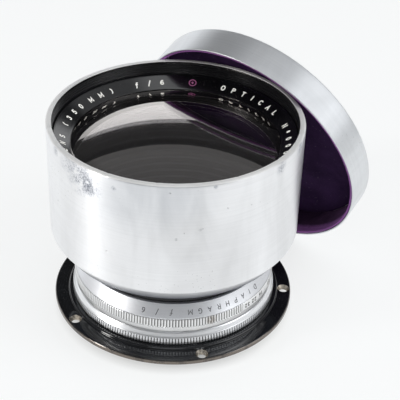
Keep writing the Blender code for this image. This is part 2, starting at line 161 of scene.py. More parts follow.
class Finish(Net):
    """A material's node tree; axes are a tilted piece's own, for a mesh left in world axes."""

    def __init__(self, name, axes=None):
        self.material = bpy.data.materials.new(name)
        self.material.use_nodes = True
        super().__init__(self.material.node_tree)
        self.axes = axes
        self.out = self.node("OutputMaterial")

    def surface(self, shader):
        self.put(self.out.inputs["Surface"], shader)
        return self.material

    def coords(self):
        point = self.node("TexCoord").outputs["Object"]
        if self.axes is None:
            return point
        return self.build("Mapping", {"vector_type": 'TEXTURE'}, Vector=point,
                          Location=self.axes.to_translation(),
                          Rotation=self.axes.to_euler('XYZ'))

    def radius_height(self):
        """Radius and height of the shading point round the piece's own Z axis."""
        x, y, z = self.sep(self.coords())
        return self.math('SQRT', self.add(self.mul(x, x), self.mul(y, y))), z

    def tangent(self):
        """Direction round the turning axis."""
        if self.axes is None:
            return self.build("Tangent", {"direction_type": 'RADIAL', "axis": 'Z'})
        x, y, _ = self.sep(self.coords())
        turned = self.build("Mapping", {"vector_type": 'VECTOR'},
                            Vector=self.comb(self.mul(y, -1.0), x, 0.0),
                            Rotation=self.axes.to_euler('XYZ'))
        return self.indexed("VectorMath", turned, operation='NORMALIZE')

    def noise(self, vector, scale, detail=3.0, rough=0.5, distort=0.0):
        """Noise value; a tuple scale stretches the pattern along each axis."""
        if isinstance(scale, tuple):
            vector = self.build("Mapping", Vector=vector, Scale=scale)
            scale = 1.0
        return self.build("TexNoise", Vector=vector, Scale=scale, Detail=detail,
                          Roughness=rough, Distortion=distort)

    def turned_lines(self, x, y, along, across, pitch, detail=2.0, rough=0.5):
        """Noise that is slow round the axis (across) and quick along the profile (pitch)."""
        vector = self.comb(self.mul(x, across), self.mul(y, across), self.mul(along, pitch))
        return self.noise(vector, scale=1.0, detail=detail, rough=rough)

    def ramp(self, value, stops, levels=(0.0, 1.0)):
        """Grey colour ramp with the given levels at the given stops."""
        node = self.node("ValToRGB")
        elements = node.color_ramp.elements
        while len(elements) < len(stops):
            elements.new(0.5)
        for element, stop, level in zip(elements, stops, levels):
            element.position = stop
            element.color = (level, level, level, 1)
        self.put(node.inputs[0], value)
        return node.outputs[0]

    def mix(self, under, over, amount, blend='MIX'):
        node = self.node("Mix", data_type='RGBA', blend_type=blend)
        for index, value in ((0, amount), (6, under), (7, over)):
            self.put(node.inputs[index], value)
        return node.outputs[2]

    def mix_shader(self, first, second, amount):
        return self.indexed("MixShader", amount, first, second)

    def bump(self, height, strength, distance, **normal):
        return self.build("Bump", Strength=strength, Distance=distance, Height=height, **normal)

    def principled(self, **inputs):
        return self.build("BsdfPrincipled", **inputs)

    def spot(self, vector, centre, inner, outer):
        """1 within the inner distance of a point, falling to 0 at the outer one."""
        node = self.node("VectorMath", operation='DISTANCE')
        self.put(node.inputs[0], vector)
        node.inputs[1].default_value = centre
        return self.remap(node.outputs["Value"], over=(inner, outer), to=(1.0, 0.0))


def scaled(colour, factor):
    return tuple(channel * factor for channel in colour)


# ---- Materials ----


def rubbed_patch(net, point, layers, patch, stain):
    """Pitted, rubbed metal round a point; layers are (colour, roughness, height)."""
    colour, rough, height = layers
    centre, inner, outer, amount = patch
    mask = net.spot(point, centre, inner, outer)
    speck = net.noise(point, scale=1700.0, detail=4.0, rough=0.7)
    edge = net.noise(point, scale=300.0, detail=4.0, rough=0.6)
    mask = net.mul(mask, net.ramp(edge, stops=(0.36, 0.52)))
    flake = net.mul(net.mul(mask, net.ramp(speck, stops=(0.51, 0.57))), 0.62 * amount)
    pale = tuple(min(1.0, channel * 1.9) for channel in stain)
    colour = net.mix(colour, pale, amount=net.mul(mask, 0.46 * amount))
    colour = net.mix(colour, stain, amount=flake)
    glint = net.mul(mask, net.ramp(speck, stops=(0.38, 0.44), levels=(1.0, 0.0)))
    colour = net.mix(colour, (0.98, 0.98, 0.98), amount=net.mul(glint, 0.8 * amount))
    rough = net.add(rough, net.mul(mask, 0.26))
    return colour, rough, net.sub(height, net.mul(flake, 1.6))


def knurl_groove_shade(net, radius, z, groove):
    """Mask of the floor between knurl teeth, where painted shade darkens the grooves.
    groove = (crest radius, at height, crest slope, lower end, upper end), mm."""
    crest_r, crest_z, slope, low, high = groove
    crest = net.add(crest_r * MILLI, net.mul(net.sub(z, crest_z * MILLI), slope))
    mask = net.remap(net.sub(crest, radius), over=(0.00010, 0.00032))
    rise = net.remap(z, over=(low * MILLI, (low + 0.1) * MILLI))
    fall = net.remap(z, over=((high - 0.1) * MILLI, high * MILLI), to=(1.0, 0.0))
    return net.mul(mask, net.mul(rise, fall))


def turned_aluminium(name, base, rough, lines, streak, wear, aniso, face=False, spots=(),
                     dirt=(0.30, 0.29, 0.27), stain=(0.27, 0.285, 0.32), dents=(),
                     groove=None, under=None, rim=None, shade_spots=(), axes=None):
    """Lathe-turned aluminium with tool lines round the axis; face=True makes rings on a face.
    spots: (centre, inner, outer, amount); dents: (centre, size, depth);
    groove: see knurl_groove_shade, painted shade between the teeth; under: (low, high, colour) of
    painted shade on the underside, mm;
    rim: height above which the edge is rubbed, and also painted pale and less metallic as a
    painted highlight, mm;
    shade_spots: (centre, inner, outer, amount, colour) of painted shade. Centres and distances
    are in metres."""
    net = Finish(name, axes)
    point = net.coords()
    radius, z = net.radius_height()
    x, y, _ = net.sep(point)
    along = radius if face else z
    fine = net.turned_lines(x, y, along, across=9.0, pitch=5200.0, detail=3.0, rough=0.55)
    broad = net.turned_lines(x, y, along, across=22.0, pitch=1500.0)
    cloud = net.noise(point, scale=42.0, detail=4.0, rough=0.6, distort=0.6)
    smear = net.noise(point, scale=(60.0, 60.0, 16.0), detail=4.0, rough=0.6, distort=1.2)
    pit = net.math('LESS_THAN', net.build("TexVoronoi", Vector=point, Scale=900.0),
                   net.remap(cloud, over=(0.45, 0.75), to=(0.0, 0.16)))
    grime = net.ramp(smear, stops=(0.42, 0.80))

    # thin bright scratches in two directions
    ring_noise = net.noise(point, scale=(30.0, 30.0, 2600.0), detail=2.0, rough=0.4, distort=3.0)
    ring_scratch = net.ramp(ring_noise, stops=(0.655, 0.675, 0.695), levels=(0.0, 1.0, 0.0))
    long_noise = net.noise(point, scale=(1700.0, 1700.0, 60.0), detail=2.0, rough=0.4,
                           distort=2.0)
    long_scratch = net.ramp(long_noise, stops=(0.69, 0.705, 0.72), levels=(0.0, 1.0, 0.0))
    scratch = net.mul(net.math('MAXIMUM', ring_scratch, long_scratch),
                      net.remap(cloud, over=(0.45, 0.7)))

    # lightness, roughness and relief of the plain metal
    light = net.add(
        net.remap(fine, over=(0.25, 0.75), to=(-0.030 * lines, 0.030 * lines)),
        net.remap(broad, over=(0.3, 0.7), to=(-0.025 * streak, 0.025 * streak)))
    light = net.add(light, net.remap(cloud, over=(0.25, 0.75), to=(-0.045 * wear, 0.03 * wear)))
    colour = net.mix(base, net.comb(light, light, light), amount=1.0, blend='ADD')
    colour = net.mix(colour, dirt, amount=net.mul(grime, 0.22 * wear))
    colour = net.mix(colour, (0.16, 0.155, 0.15), amount=net.mul(pit, 0.75 * wear))
    colour = net.mix(colour, (0.93, 0.93, 0.94), amount=net.mul(scratch, 0.35 * wear))
    rough = net.add(rough, net.remap(fine, over=(0.2, 0.8), to=(-0.04, 0.04)))
    rough = net.add(rough, net.mul(grime, 0.16 * wear))
    rough = net.add(rough, net.mul(pit, 0.2))
    relief = net.add(net.mul(fine, 0.5 * lines), net.mul(broad, 0.25 * streak))
    for patch in spots:
        colour, rough, relief = rubbed_patch(net, point, (colour, rough, relief), patch, stain)
    relief = net.sub(relief, net.mul(pit, 0.8))
    relief = net.sub(relief, net.mul(scratch, 0.5))

    if groove:
        mask = knurl_groove_shade(net, radius, z, groove)
        # painted shade: the floor between the knurl teeth is darkened
        colour = net.mix(colour, (0.20, 0.195, 0.185), amount=net.mul(mask, 0.68))
        rough = net.add(rough, net.mul(mask, 0.15))
    if under:
        # painted shade: the underside below the hood's foot is darkened towards the given colour
        low, high, dark = under
        mask = net.remap(z, over=(low * MILLI, high * MILLI), to=(1.0, 0.0))
        streaks = net.remap(broad, over=(0.3, 0.7), to=(0.80, 1.0))
        colour = net.mix(colour, dark, amount=net.mul(mask, streaks))
    for centre, inner, outer, amount, tone in shade_spots:
        # painted shade: soft grey-blue darkening around each point
        mask = net.mul(net.spot(point, centre, inner, outer),
                       net.remap(smear, over=(0.3, 0.7), to=(0.6, 1.2)))
        colour = net.mix(colour, tone, amount=net.mul(mask, amount))
    metallic = 1.0
    if rim:
        # rubbed edge, and a painted highlight: near-white, less metallic colour makes the rounded
        # rim read bright
        edge = net.remap(z, over=(rim * MILLI, (rim + 0.25) * MILLI))
        rough = net.add(rough, net.mul(edge, 0.20))
        colour = net.mix(colour, (0.97, 0.965, 0.95), amount=net.mul(edge, 0.92))
        metallic = net.remap(edge, over=(0.0, 1.0), to=(1.0, 0.35))

    normal = net.bump(relief, strength=0.22, distance=0.00005)
    hollows = None
    for centre, size, depth in dents:           # a smooth hollow with a darker floor
        mask = net.spot(point, centre, 0.0, size)
        mask = net.mul(net.mul(mask, mask), net.sub(3.0, net.mul(mask, 2.0)))
        ragged = net.noise(point, scale=1150.0, detail=2.0)
        mask = net.mul(mask, net.remap(ragged, over=(0.40, 0.58), to=(0.05, 1.5)))
        colour = net.mix(colour, (0.22, 0.22, 0.24), amount=net.mul(mask, 0.42, clamp=True))
        hollow = net.mul(mask, -depth)
        hollows = hollow if hollows is None else net.add(hollows, hollow)
    if hollows is not None:
        normal = net.bump(hollows, strength=1.0, distance=0.001, Normal=normal)
    return net.surface(net.principled(
        Base_Color=colour, Metallic=metallic, Roughness=rough, Normal=normal,
        Anisotropic=aniso, Anisotropic_Rotation=0.25, Tangent=net.tangent()))


def black_enamel(name, base, rough, ior, vary, worn_edge=None):
    """Glossy black. worn_edge = (radius, width), metres: worn through there, as are the
    flange's countersinks."""
    net = Finish(name)
    point = net.coords()
    cloud = net.noise(point, scale=60.0, detail=4.0, rough=0.6, distort=0.4)
    dust = net.noise(point, scale=1600.0, detail=2.0)
    rub = net.noise(point, scale=300.0, detail=4.0, rough=0.65)
    faded = tuple(channel * 2.1 + 0.004 for channel in base)
    colour = net.mix(base, faded, amount=net.ramp(cloud, stops=(0.35, 0.75)))
    colour = net.mix(colour, (0.16, 0.15, 0.145),
                     amount=net.mul(net.ramp(dust, stops=(0.66, 0.74)), 0.35))
    rough = net.add(rough, net.remap(cloud, over=(0.3, 0.7), to=(-0.05 * vary, 0.09 * vary)))
    metallic = 0.0
    if worn_edge:
        edge_r, width = worn_edge
        radius, z = net.radius_height()
        away = net.math('ABSOLUTE', net.sub(radius, edge_r))
        worn = net.mul(net.remap(away, over=(0.0, width), to=(1.0, 0.0)), 1.0)
        ragged = net.add(worn, net.remap(rub, over=(0.3, 0.7), to=(-0.30, 0.35)))
        worn = net.ramp(ragged, stops=(0.40, 0.80))
        colour = net.mix(colour, (0.20, 0.175, 0.155), amount=worn)
        rough = net.add(rough, net.mul(worn, 0.16))
        # countersinks: below the flange's face and inside its edge
        sunk = net.mul(net.remap(z, over=(0.00168, 0.00174), to=(1.0, 0.0)),
                       net.remap(radius, over=(0.0435, 0.0436), to=(1.0, 0.0)))
        sunk = net.mul(sunk, net.remap(rub, over=(0.38, 0.55), to=(0.25, 1.0)))
        colour = net.mix(colour, (0.46, 0.41, 0.34), amount=sunk)
        rough = net.add(rough, net.mul(sunk, 0.30))
        metallic = net.math('MAXIMUM', worn, net.mul(sunk, 0.8))
    normal = net.bump(net.add(dust, net.mul(rub, 0.6)), strength=0.10, distance=0.00004 * vary)
    return net.surface(net.principled(
        Base_Color=colour, Roughness=rough, Metallic=metallic, Normal=normal,
        Coat_Weight=0.0, Coat_Roughness=0.08, IOR=ior))


def matt_black(name, base, rough, scuff):
    net = Finish(name)
    point = net.coords()
    x, y, z = net.sep(point)
    rings = net.turned_lines(x, y, z, across=14.0, pitch=2700.0)
    cloud = net.noise(point, scale=90.0, detail=4.0, rough=0.6, distort=0.5)
    colour = net.mix(base, scaled(base, 1.9), amount=net.ramp(cloud, stops=(0.3, 0.8)))
    scuffs = net.ramp(net.noise(point, scale=420.0, detail=4.0, rough=0.7), stops=(0.60, 0.70))
    colour = net.mix(colour, (0.22, 0.22, 0.225), amount=net.mul(scuffs, scuff))
    rough = net.add(rough, net.remap(rings, over=(0.3, 0.7), to=(-0.08, 0.08)))
    normal = net.bump(net.add(rings, net.mul(cloud, 0.4)), strength=0.25, distance=0.00005)
    return net.surface(net.principled(
        Base_Color=colour, Roughness=rough, Metallic=0.15, Normal=normal))


def lens_glass(name, tint, ior, face_on, mirror=(1.0, 0.97, 1.0), dust_level=0.0,
               front=1.0, back=0.25):
    """Coated glass: reflects face_on when seen square, fully at grazing, times front or back
    by the side seen. Shadow rays pass, so the barrel is lit."""
    net = Finish(name)
    point = net.coords()
    wipe = net.noise(point, scale=(35.0, 90.0, 35.0), detail=3.0, rough=0.6, distort=1.5)
    dust = net.noise(point, scale=2600.0, detail=1.0)
    plain_face_on = ((ior - 1) / (ior + 1)) ** 2
    reflect = net.remap(net.build("Fresnel", IOR=ior), over=(plain_face_on, 1.0),
                        to=(face_on, 1.0))
    inside = net.node("NewGeometry").outputs["Backfacing"]
    reflect = net.mul(reflect, net.remap(inside, over=(0.0, 1.0), to=(front, back)))
    refraction = net.build("BsdfRefraction", {"distribution": 'BECKMANN'},
                           Color=tint, Roughness=0.0, IOR=1.62)
    gloss = net.build("BsdfAnisotropic", {"distribution": 'GGX'}, Color=mirror, Roughness=0.0)
    body = net.mix_shader(refraction, gloss, amount=reflect)
    clear = net.build("BsdfTransparent", Color=scaled(tint, 0.9))
    body = net.mix_shader(body, clear, amount=net.node("LightPath").outputs["Is Shadow Ray"])
    haze = net.build("BsdfDiffuse", Color=(0.55, 0.55, 0.57))
    film = net.add(net.mul(net.ramp(dust, stops=(0.72, 0.78)), dust_level),
                   net.remap(wipe, over=(0.4, 0.9), to=(0.0, 0.003)))
    return net.surface(net.mix_shader(body, haze, amount=film))


def velvet(name, dark, light, pile, lip=None):
    """Short pile: dark face on, lighter at a grazing look; lip is a painted sheen, a paler colour
    at the cap's mouth.
    """
    net = Finish(name, CAP_AXES)
    point = net.coords()
    patch = net.noise(point, scale=55.0, detail=4.0, rough=0.6, distort=0.8)
    fibre = net.noise(point, scale=3800.0, detail=2.0, rough=0.6)
    tuft = net.noise(point, scale=900.0, detail=3.0, rough=0.6)
    lint = net.noise(point, scale=1500.0, detail=1.0)
    brushed = tuple(low * 0.85 + high * 0.15 for low, high in zip(dark, light))
    colour = net.mix(dark, brushed, amount=net.ramp(patch, stops=(0.32, 0.70)))
    colour = net.mix(colour, scaled(dark, 0.5),
                     amount=net.remap(fibre, over=(0.3, 0.7), to=(0.0, 0.5)))
    colour = net.mix(colour, (0.26, 0.22, 0.28),
                     amount=net.mul(net.ramp(lint, stops=(0.735, 0.76)), 0.30))
    if lip:
        # painted sheen: the lining is made paler near the mouth, standing in for the pile's sheen
        # there
        ragged = net.add(net.sep(point)[2],
                         net.remap(tuft, over=(0.3, 0.7), to=(-0.0003, 0.0003)))
        edge = net.remap(ragged, over=(0.0026, 0.0046), to=(1.0, 0.0))
        pale = net.mix(scaled(lip, 1.25), scaled(lip, 0.6),
                       amount=net.remap(fibre, over=(0.3, 0.7)))
        colour = net.mix(colour, pale, amount=edge)
    normal = net.bump(net.add(net.mul(fibre, 0.8), tuft), strength=0.55, distance=0.00015)
    sheen = net.remap(patch, over=(0.3, 0.7), to=(0.45 * pile, 0.9 * pile))
    return net.surface(net.principled(
        Base_Color=colour, Roughness=0.92, Sheen_Weight=sheen, Sheen_Roughness=0.42,
        Sheen_Tint=light, Specular_IOR_Level=0.12, Normal=normal))


def paint_fill(name, colour, rough=0.6, speck=0.25, glow=0.0):
    net = Finish(name)
    grain = net.noise(net.coords(), scale=1400.0, detail=3.0, rough=0.6)
    paint = net.mix(colour, scaled(colour, 1 - speck), amount=net.ramp(grain, stops=(0.45, 0.75)))
    # glow makes the fill shine a little by itself: painted light
    return net.surface(net.principled(
        Base_Color=paint, Roughness=rough, Emission_Color=paint, Emission_Strength=glow,
        Normal=net.bump(grain, strength=0.3, distance=0.00003)))


def brushed_steel(name, base, rough, metallic):
    net = Finish(name)
    point = net.coords()
    cloud = net.noise(point, scale=120.0, detail=4.0, rough=0.6, distort=0.6)
    brush = net.noise(point, scale=(900.0, 120.0, 60.0), detail=3.0)
    colour = net.mix(base, scaled(base, 2.0), amount=net.ramp(cloud, stops=(0.35, 0.7)))
    colour = net.mix(colour, (0.20, 0.20, 0.21),
                     amount=net.mul(net.ramp(brush, stops=(0.62, 0.72)), 0.4))
    rough = net.add(rough, net.remap(cloud, over=(0.3, 0.7), to=(-0.08, 0.1)))
    return net.surface(net.principled(
        Base_Color=colour, Metallic=metallic, Roughness=rough,
        Normal=net.bump(brush, strength=0.15, distance=0.00004)))


def tarnished_brass(name):
    net = Finish(name)
    cloud = net.noise(net.coords(), scale=140.0, detail=5.0, rough=0.65, distort=0.8)
    colour = net.mix((0.030, 0.027, 0.022), (0.20, 0.15, 0.07),
                     amount=net.ramp(cloud, stops=(0.42, 0.62)))
    return net.surface(net.principled(
        Base_Color=colour, Metallic=0.85,
        Roughness=net.remap(cloud, over=(0.3, 0.7), to=(0.55, 0.33)),
        Normal=net.bump(cloud, strength=0.25, distance=0.00008)))


def on_hood(azimuth, z):
    return polar(HOOD_R, radians(azimuth), z)


# Rubbed patches: azimuth, height in mm, full-strength and outer distance in metres, amount
HOOD_WEAR = [
    (-131.5, 68.4, 0.0032, 0.0078, 1.0), (-125, 66.4, 0.0014, 0.0050, 1.0),
    (-141, 70.2, 0.0008, 0.0038, 0.8), (-150, 71.5, 0.0003, 0.0022, 0.7),
    (-114, 69.4, 0.0002, 0.0012, 0.9), (-71.8, 72.2, 0.0003, 0.0009, 1.0),
    (-38, 71.0, 0.0006, 0.0030, 0.7), (-20, 71.5, 0.0008, 0.0040, 0.8),
    (60, 70.0, 0.001, 0.006, 0.7),
]
# Painted shade, faint grey-blue darkening near the top: the same columns, then the colour
HOOD_SHADE_SPOTS = [
    (-104, 70.5, 0.002, 0.021, 0.30, (0.50, 0.54, 0.60)),
    (-84, 70.5, 0.001, 0.014, 0.22, (0.52, 0.56, 0.62)),
    (-118, 60.0, 0.001, 0.012, 0.14, (0.55, 0.58, 0.64)),
]
# Small knocks: azimuth, height, radius in mm, depth of the bump
HOOD_DENTS = [
    (-71.8, 72.1, 0.45, 0.10), (-79.0, 71.6, 0.30, 0.06), (-90.3, 70.7, 0.55, 0.07),
    (-77.8, 56.6, 0.75, 0.06), (-76.6, 56.9, 0.35, 0.08), (-84.4, 55.6, 0.35, 0.09),
    (-87.6, 53.3, 0.7, 0.05), (-113.8, 69.4, 0.5, 0.09), (-55.0, 62.2, 0.5, 0.06),
    (-50.3, 61.8, 0.4, 0.05), (-38.0, 69.5, 0.5, 0.08), (-150.0, 52.0, 0.5, 0.05),
    (-66.0, 63.5, 0.6, 0.05), (-118.0, 44.0, 0.6, 0.05), (-140.0, 60.0, 0.4, 0.05),
    (20.0, 60.0, 0.6, 0.07), (95.0, 55.0, 0.7, 0.06), (170.0, 64.0, 0.6, 0.07),
]

FINISHES = {
    "hood": turned_aluminium(
        "hood_aluminium", (0.915, 0.92, 0.935), rough=0.33, lines=0.75, streak=0.6, wear=0.7,
        # under paints shade on the tapered foot; rim paints the rounded edge bright
        aniso=0.75, under=(26.3, 31.3, (0.075, 0.09, 0.125)), rim=72.75,
        spots=[(on_hood(azimuth, z), *rest) for azimuth, z, *rest in HOOD_WEAR],
        shade_spots=[(on_hood(azimuth, z), *rest) for azimuth, z, *rest in HOOD_SHADE_SPOTS],
        dents=[(on_hood(azimuth, z), 1.05 * size * MILLI, 1.2 * depth)
               for azimuth, z, size, depth in HOOD_DENTS]),
    "lock_ring": turned_aluminium(
        "ring_aluminium", (0.93, 0.94, 0.96), rough=0.31, lines=0.7, streak=0.5, wear=0.35,
        aniso=0.3, groove=(37.57, 3.8, -0.228, 3.3, 5.95)),
    "barrel": turned_aluminium(
        "barrel_aluminium", (0.88, 0.89, 0.92), rough=0.46, lines=0.9, streak=0.6, wear=0.45,
        aniso=0.3),
    "aperture_ring": turned_aluminium(
        "aperture_ring_aluminium", (0.93, 0.935, 0.94), rough=0.31, lines=0.7, streak=0.5,
        wear=0.35, aniso=0.3, groove=(36.67, 10.4, -0.079, 10.2, 13.45),
        stain=(0.16, 0.11, 0.06), spots=[((0.0143, -0.0337, 0.0118), 0.0006, 0.0022, 0.9)]),
    "cap": turned_aluminium(
        "cap_aluminium", (0.785, 0.80, 0.82), rough=0.45, lines=0.9, streak=0.7, wear=0.6,
        aniso=0.4, axes=CAP_AXES),
    "cap_face": turned_aluminium(
        "cap_face_aluminium", (0.70, 0.71, 0.73), rough=0.34, face=True, lines=1.8, streak=2.2,
        wear=1.0, aniso=0.5, dirt=(0.26, 0.25, 0.24), axes=CAP_AXES),
    "flange": black_enamel("flange_enamel", (0.007, 0.0075, 0.009), rough=0.055, ior=1.62,
                           vary=0.35, worn_edge=(0.04412, 0.00022)),
    "name_ring": black_enamel("name_ring_black", (0.005, 0.005, 0.006), rough=0.17, ior=1.85,
                              vary=0.6),
    "cell": matt_black("cell_black", (0.016, 0.016, 0.018), rough=0.55, scuff=0.12),
    "hood_inside": matt_black("hood_inner_black", (0.008, 0.008, 0.0095), rough=0.29,
                              scuff=0.16),
    "front_glass": lens_glass("front_glass", (0.93, 0.93, 0.94), ior=1.90, face_on=0.048,
                              mirror=(2.60, 2.47, 2.38), dust_level=0.05, back=0.08),
    "inner_glass": lens_glass("inner_glass", (0.88, 0.87, 0.88), ior=1.62, face_on=0.012,
                              front=0.14, back=0.08),
    "rear_glass": lens_glass("rear_glass", (0.80, 0.82, 0.82), ior=1.58, face_on=0.010),
    "velvet_floor": velvet("velvet_floor", (0.0190, 0.0060, 0.034), (0.20, 0.09, 0.30),
                           pile=0.30),
    # lip paints a paler band at the mouth: painted sheen
    "velvet_wall": velvet("velvet_wall", (0.016, 0.0055, 0.024), (0.42, 0.20, 0.46), pile=0.55,
                          lip=(0.35, 0.14, 0.42)),
    # the white fill glows a little: painted light, so the letters read bright
    "white": paint_fill("white_fill", (0.92, 0.91, 0.86), speck=0.10, glow=0.42),
    "grey": paint_fill("dark_fill", (0.13, 0.13, 0.14), rough=0.7),
    "black": paint_fill("black_fill", (0.035, 0.034, 0.034)),
    # the pink fill glows a little: painted light
    "pink": paint_fill("pink_fill", (0.66, 0.20, 0.46), speck=0.1, glow=0.10),
    "blade": brushed_steel("blade_steel", (0.022, 0.022, 0.026), rough=0.36, metallic=0.75),
    "brass": tarnished_brass("iris_brass"),
    "screw": brushed_steel("screw_steel", (0.42, 0.42, 0.43), rough=0.30, metallic=1.0),
}


# ---- Mesh helpers: profiles are (radius, height) points in mm ----


def rounded(corners, steps):
    """Profile from (radius, height, fillet radius) corners; a fillet of 0 stays sharp."""
    profile = []
    for i, (*corner, fillet) in enumerate(corners):
        if fillet <= 0:
            profile.append(tuple(corner))
            continue
        middle = Vector(corner)
        before = Vector(corners[i - 1][:2]) - middle
        after = Vector(corners[(i + 1) % len(corners)][:2]) - middle
        room = (before.length * 0.49, after.length * 0.49)
        before.normalize()
        after.normalize()
        angle = math.acos(max(-1.0, min(1.0, before.dot(after))))
        if abs(angle - pi) < 1e-3:
            profile.append(tuple(corner))
            continue
        reach = min(fillet / math.tan(angle / 2), *room)
        radius = reach * math.tan(angle / 2)
        centre = middle + (before + after).normalized() * (radius / sin(angle / 2))
        first, last = middle + before * reach, middle + after * reach
        start = atan2(first.y - centre.y, first.x - centre.x)
        sweep = atan2(last.y - centre.y, last.x - centre.x) - start
        while sweep > pi:
            sweep -= 2 * pi
        while sweep < -pi:
            sweep += 2 * pi
        for k in range(steps + 1):
            turn = start + sweep * k / steps
            profile.append((centre.x + radius * cos(turn), centre.y + radius * sin(turn)))
    return profile


def refined(profile, step, closed=True):
    """Add points so that no straight run is longer than step."""
    points = []
    count = len(profile)
    for i in range(count if closed else count - 1):
        start, end = profile[i], profile[(i + 1) % count]
        length = math.hypot(end[0] - start[0], end[1] - start[1])
        parts = max(1, int(math.ceil(length / step)))
        for j in range(parts):
            points.append((start[0] + (end[0] - start[0]) * j / parts,
                           start[1] + (end[1] - start[1]) * j / parts))
    if not closed:
        points.append(profile[-1])
    return points


def mesh_piece(name, verts, faces, finish, body, sharp=32.0, matrix=None, baked=None):
    """Smooth-shaded object at the optical axis, or at matrix; baked is put into the mesh
    instead. It rides with body, unless body is None."""
    mesh = bpy.data.meshes.new(name)
    mesh.from_pydata(verts, [], faces)
    mesh.validate()
    work = bmesh.new()
    work.from_mesh(mesh)
    bmesh.ops.remove_doubles(work, verts=work.verts, dist=1e-8)
    bmesh.ops.recalc_face_normals(work, faces=work.faces)
    work.to_mesh(mesh)
    work.free()
    mesh.shade_smooth()
    mesh.set_sharp_from_angle(angle=radians(sharp))
    mesh.materials.append(FINISHES[finish])
    piece = new_object(name, mesh)
    if baked is not None:
        mesh.transform(baked)
    elif matrix is not None:
        piece.matrix_world = matrix
    else:
        piece.location = AXIS
    if body:
        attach(piece, body)
    return piece


def lathe(name, profile, finish, body="lens_body", segments=256, closed=True, warp=None,
          **placing):
    """Turn a profile round Z. An open profile starts and ends on the axis."""
    verts, rings, faces = [], [], []
    for radius, z in profile:
        if radius < 1e-9:
            rings.append([len(verts)] * segments)
            verts.append((0, 0, z * MILLI))
            continue
        rings.append(range(len(verts), len(verts) + segments))
        for i in range(segments):
            angle = 2 * pi * i / segments
            place = warp(angle, radius, z) if warp else (radius, z)
            verts.append(polar(place[0], angle, place[1]))
    count = len(profile)
    for i in range(segments):
        i2 = (i + 1) % segments
        for j in range(count if closed else count - 1):
            ring, ring2 = rings[j], rings[(j + 1) % count]
            corners = list(dict.fromkeys((ring[i], ring[i2], ring2[i2], ring2[i])))
            if len(corners) >= 3:
                faces.append(corners)
    return mesh_piece(name, verts, faces, finish, body, **placing)


# Columns of one knurl tooth: share of the pitch, share of the groove depth
TOOTH = [(0.0, 0.0), (0.13, 0.15), (0.26, 0.96), (0.50, 1.05), (0.74, 0.96), (0.87, 0.15)]
TEETH = 220
KNURL_MIN_R = 36.2      # only points outside this radius carry grooves


def knurled(name, profile, band, depth, finish, body="lens_body", plain=None):
    """A turned ring with straight grooves between the two heights of band.
    plain = (from, to) in degrees leaves a smooth stretch."""
    columns = []
    for k in range(TEETH):
        middle = 360.0 * (k + 0.5) / TEETH
        smooth = plain is not None and (middle - plain[0]) % 360 < (plain[1] - plain[0]) % 360
        for share, height in TOOTH:
            columns.append((2 * pi * (k + share) / TEETH, 1.0 if smooth else height))
    verts, faces = [], []
    for angle, height in columns:
        for radius, z in profile:
            grooved = band[0] <= z <= band[1] and radius > KNURL_MIN_R
            verts.append(polar(radius - depth * (1.0 - height) if grooved else radius, angle, z))
    count = len(profile)
    for i in range(len(columns)):
        i2 = (i + 1) % len(columns)
        for j in range(count):
            j2 = (j + 1) % count
            faces.append((i * count + j, i2 * count + j, i2 * count + j2, i * count + j2))
    return mesh_piece(name, verts, faces, finish, body, sharp=35)


def cut(piece, cutters):
    for cutter in cutters:
        modifier = piece.modifiers.new("cut", 'BOOLEAN')
        modifier.operation = 'DIFFERENCE'
        modifier.object = cutter
        modifier.solver = 'EXACT'
    depsgraph = bpy.context.evaluated_depsgraph_get()
    mesh = bpy.data.meshes.new_from_object(piece.evaluated_get(depsgraph))
    uncut = piece.data
    piece.modifiers.clear()
    piece.data = mesh
    bpy.data.meshes.remove(uncut)
    for cutter in cutters:
        bpy.data.objects.remove(cutter, do_unlink=True)
    mesh.shade_smooth()
    mesh.set_sharp_from_angle(angle=radians(30))


def hole_cutter(profile, radius, azimuth, z, segments):
    """A turned cutter, upright, at a place round the optical axis."""
    angle = radians(azimuth)
    place = AXIS + Vector((radius * cos(angle), radius * sin(angle), z)) * MILLI
    return lathe("cutter", profile, "hood", None, segments=segments, closed=False,
                 matrix=Matrix.Translation(place))


def arc_cutter(radii, heights, azimuths, steps=40):
    """A curved block between two radii, heights and azimuths."""
    start, end = (radians(azimuth) for azimuth in azimuths)
    (inner, outer), (low, high) = radii, heights
    verts, faces = [], []
    for i in range(steps + 1):
        angle = start + (end - start) * i / steps
        for radius, z in ((inner, low), (outer, low), (outer, high), (inner, high)):
            verts.append(polar(radius, angle, z))
    for i in range(steps):
        for j in range(4):
            k = (j + 1) % 4
            faces.append((4 * i + j, 4 * i + 4 + j, 4 * i + 4 + k, 4 * i + k))
    faces.append((0, 1, 2, 3))
    faces.append((4 * steps + 3, 4 * steps + 2, 4 * steps + 1, 4 * steps))
    return mesh_piece("cutter", verts, faces, "hood", None)


def stand_in(cad_piece, slot):
    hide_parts(cad_piece)


# ---- Engraving: a single-stroke alphabet, drawn as round-ended strokes ----


def arc(cx, cy, rx, ry, start, end, steps=12):
    points = []
    for i in range(steps + 1):
        turn = radians(start + (end - start) * i / steps)
        points.append((cx + rx * cos(turn), cy + ry * sin(turn)))
    return points


P_STROKE = [(0, 0), (0, 1), (.32, 1)] + arc(.32, .76, .24, .24, 90, -90, 8) + [(0, .52)]
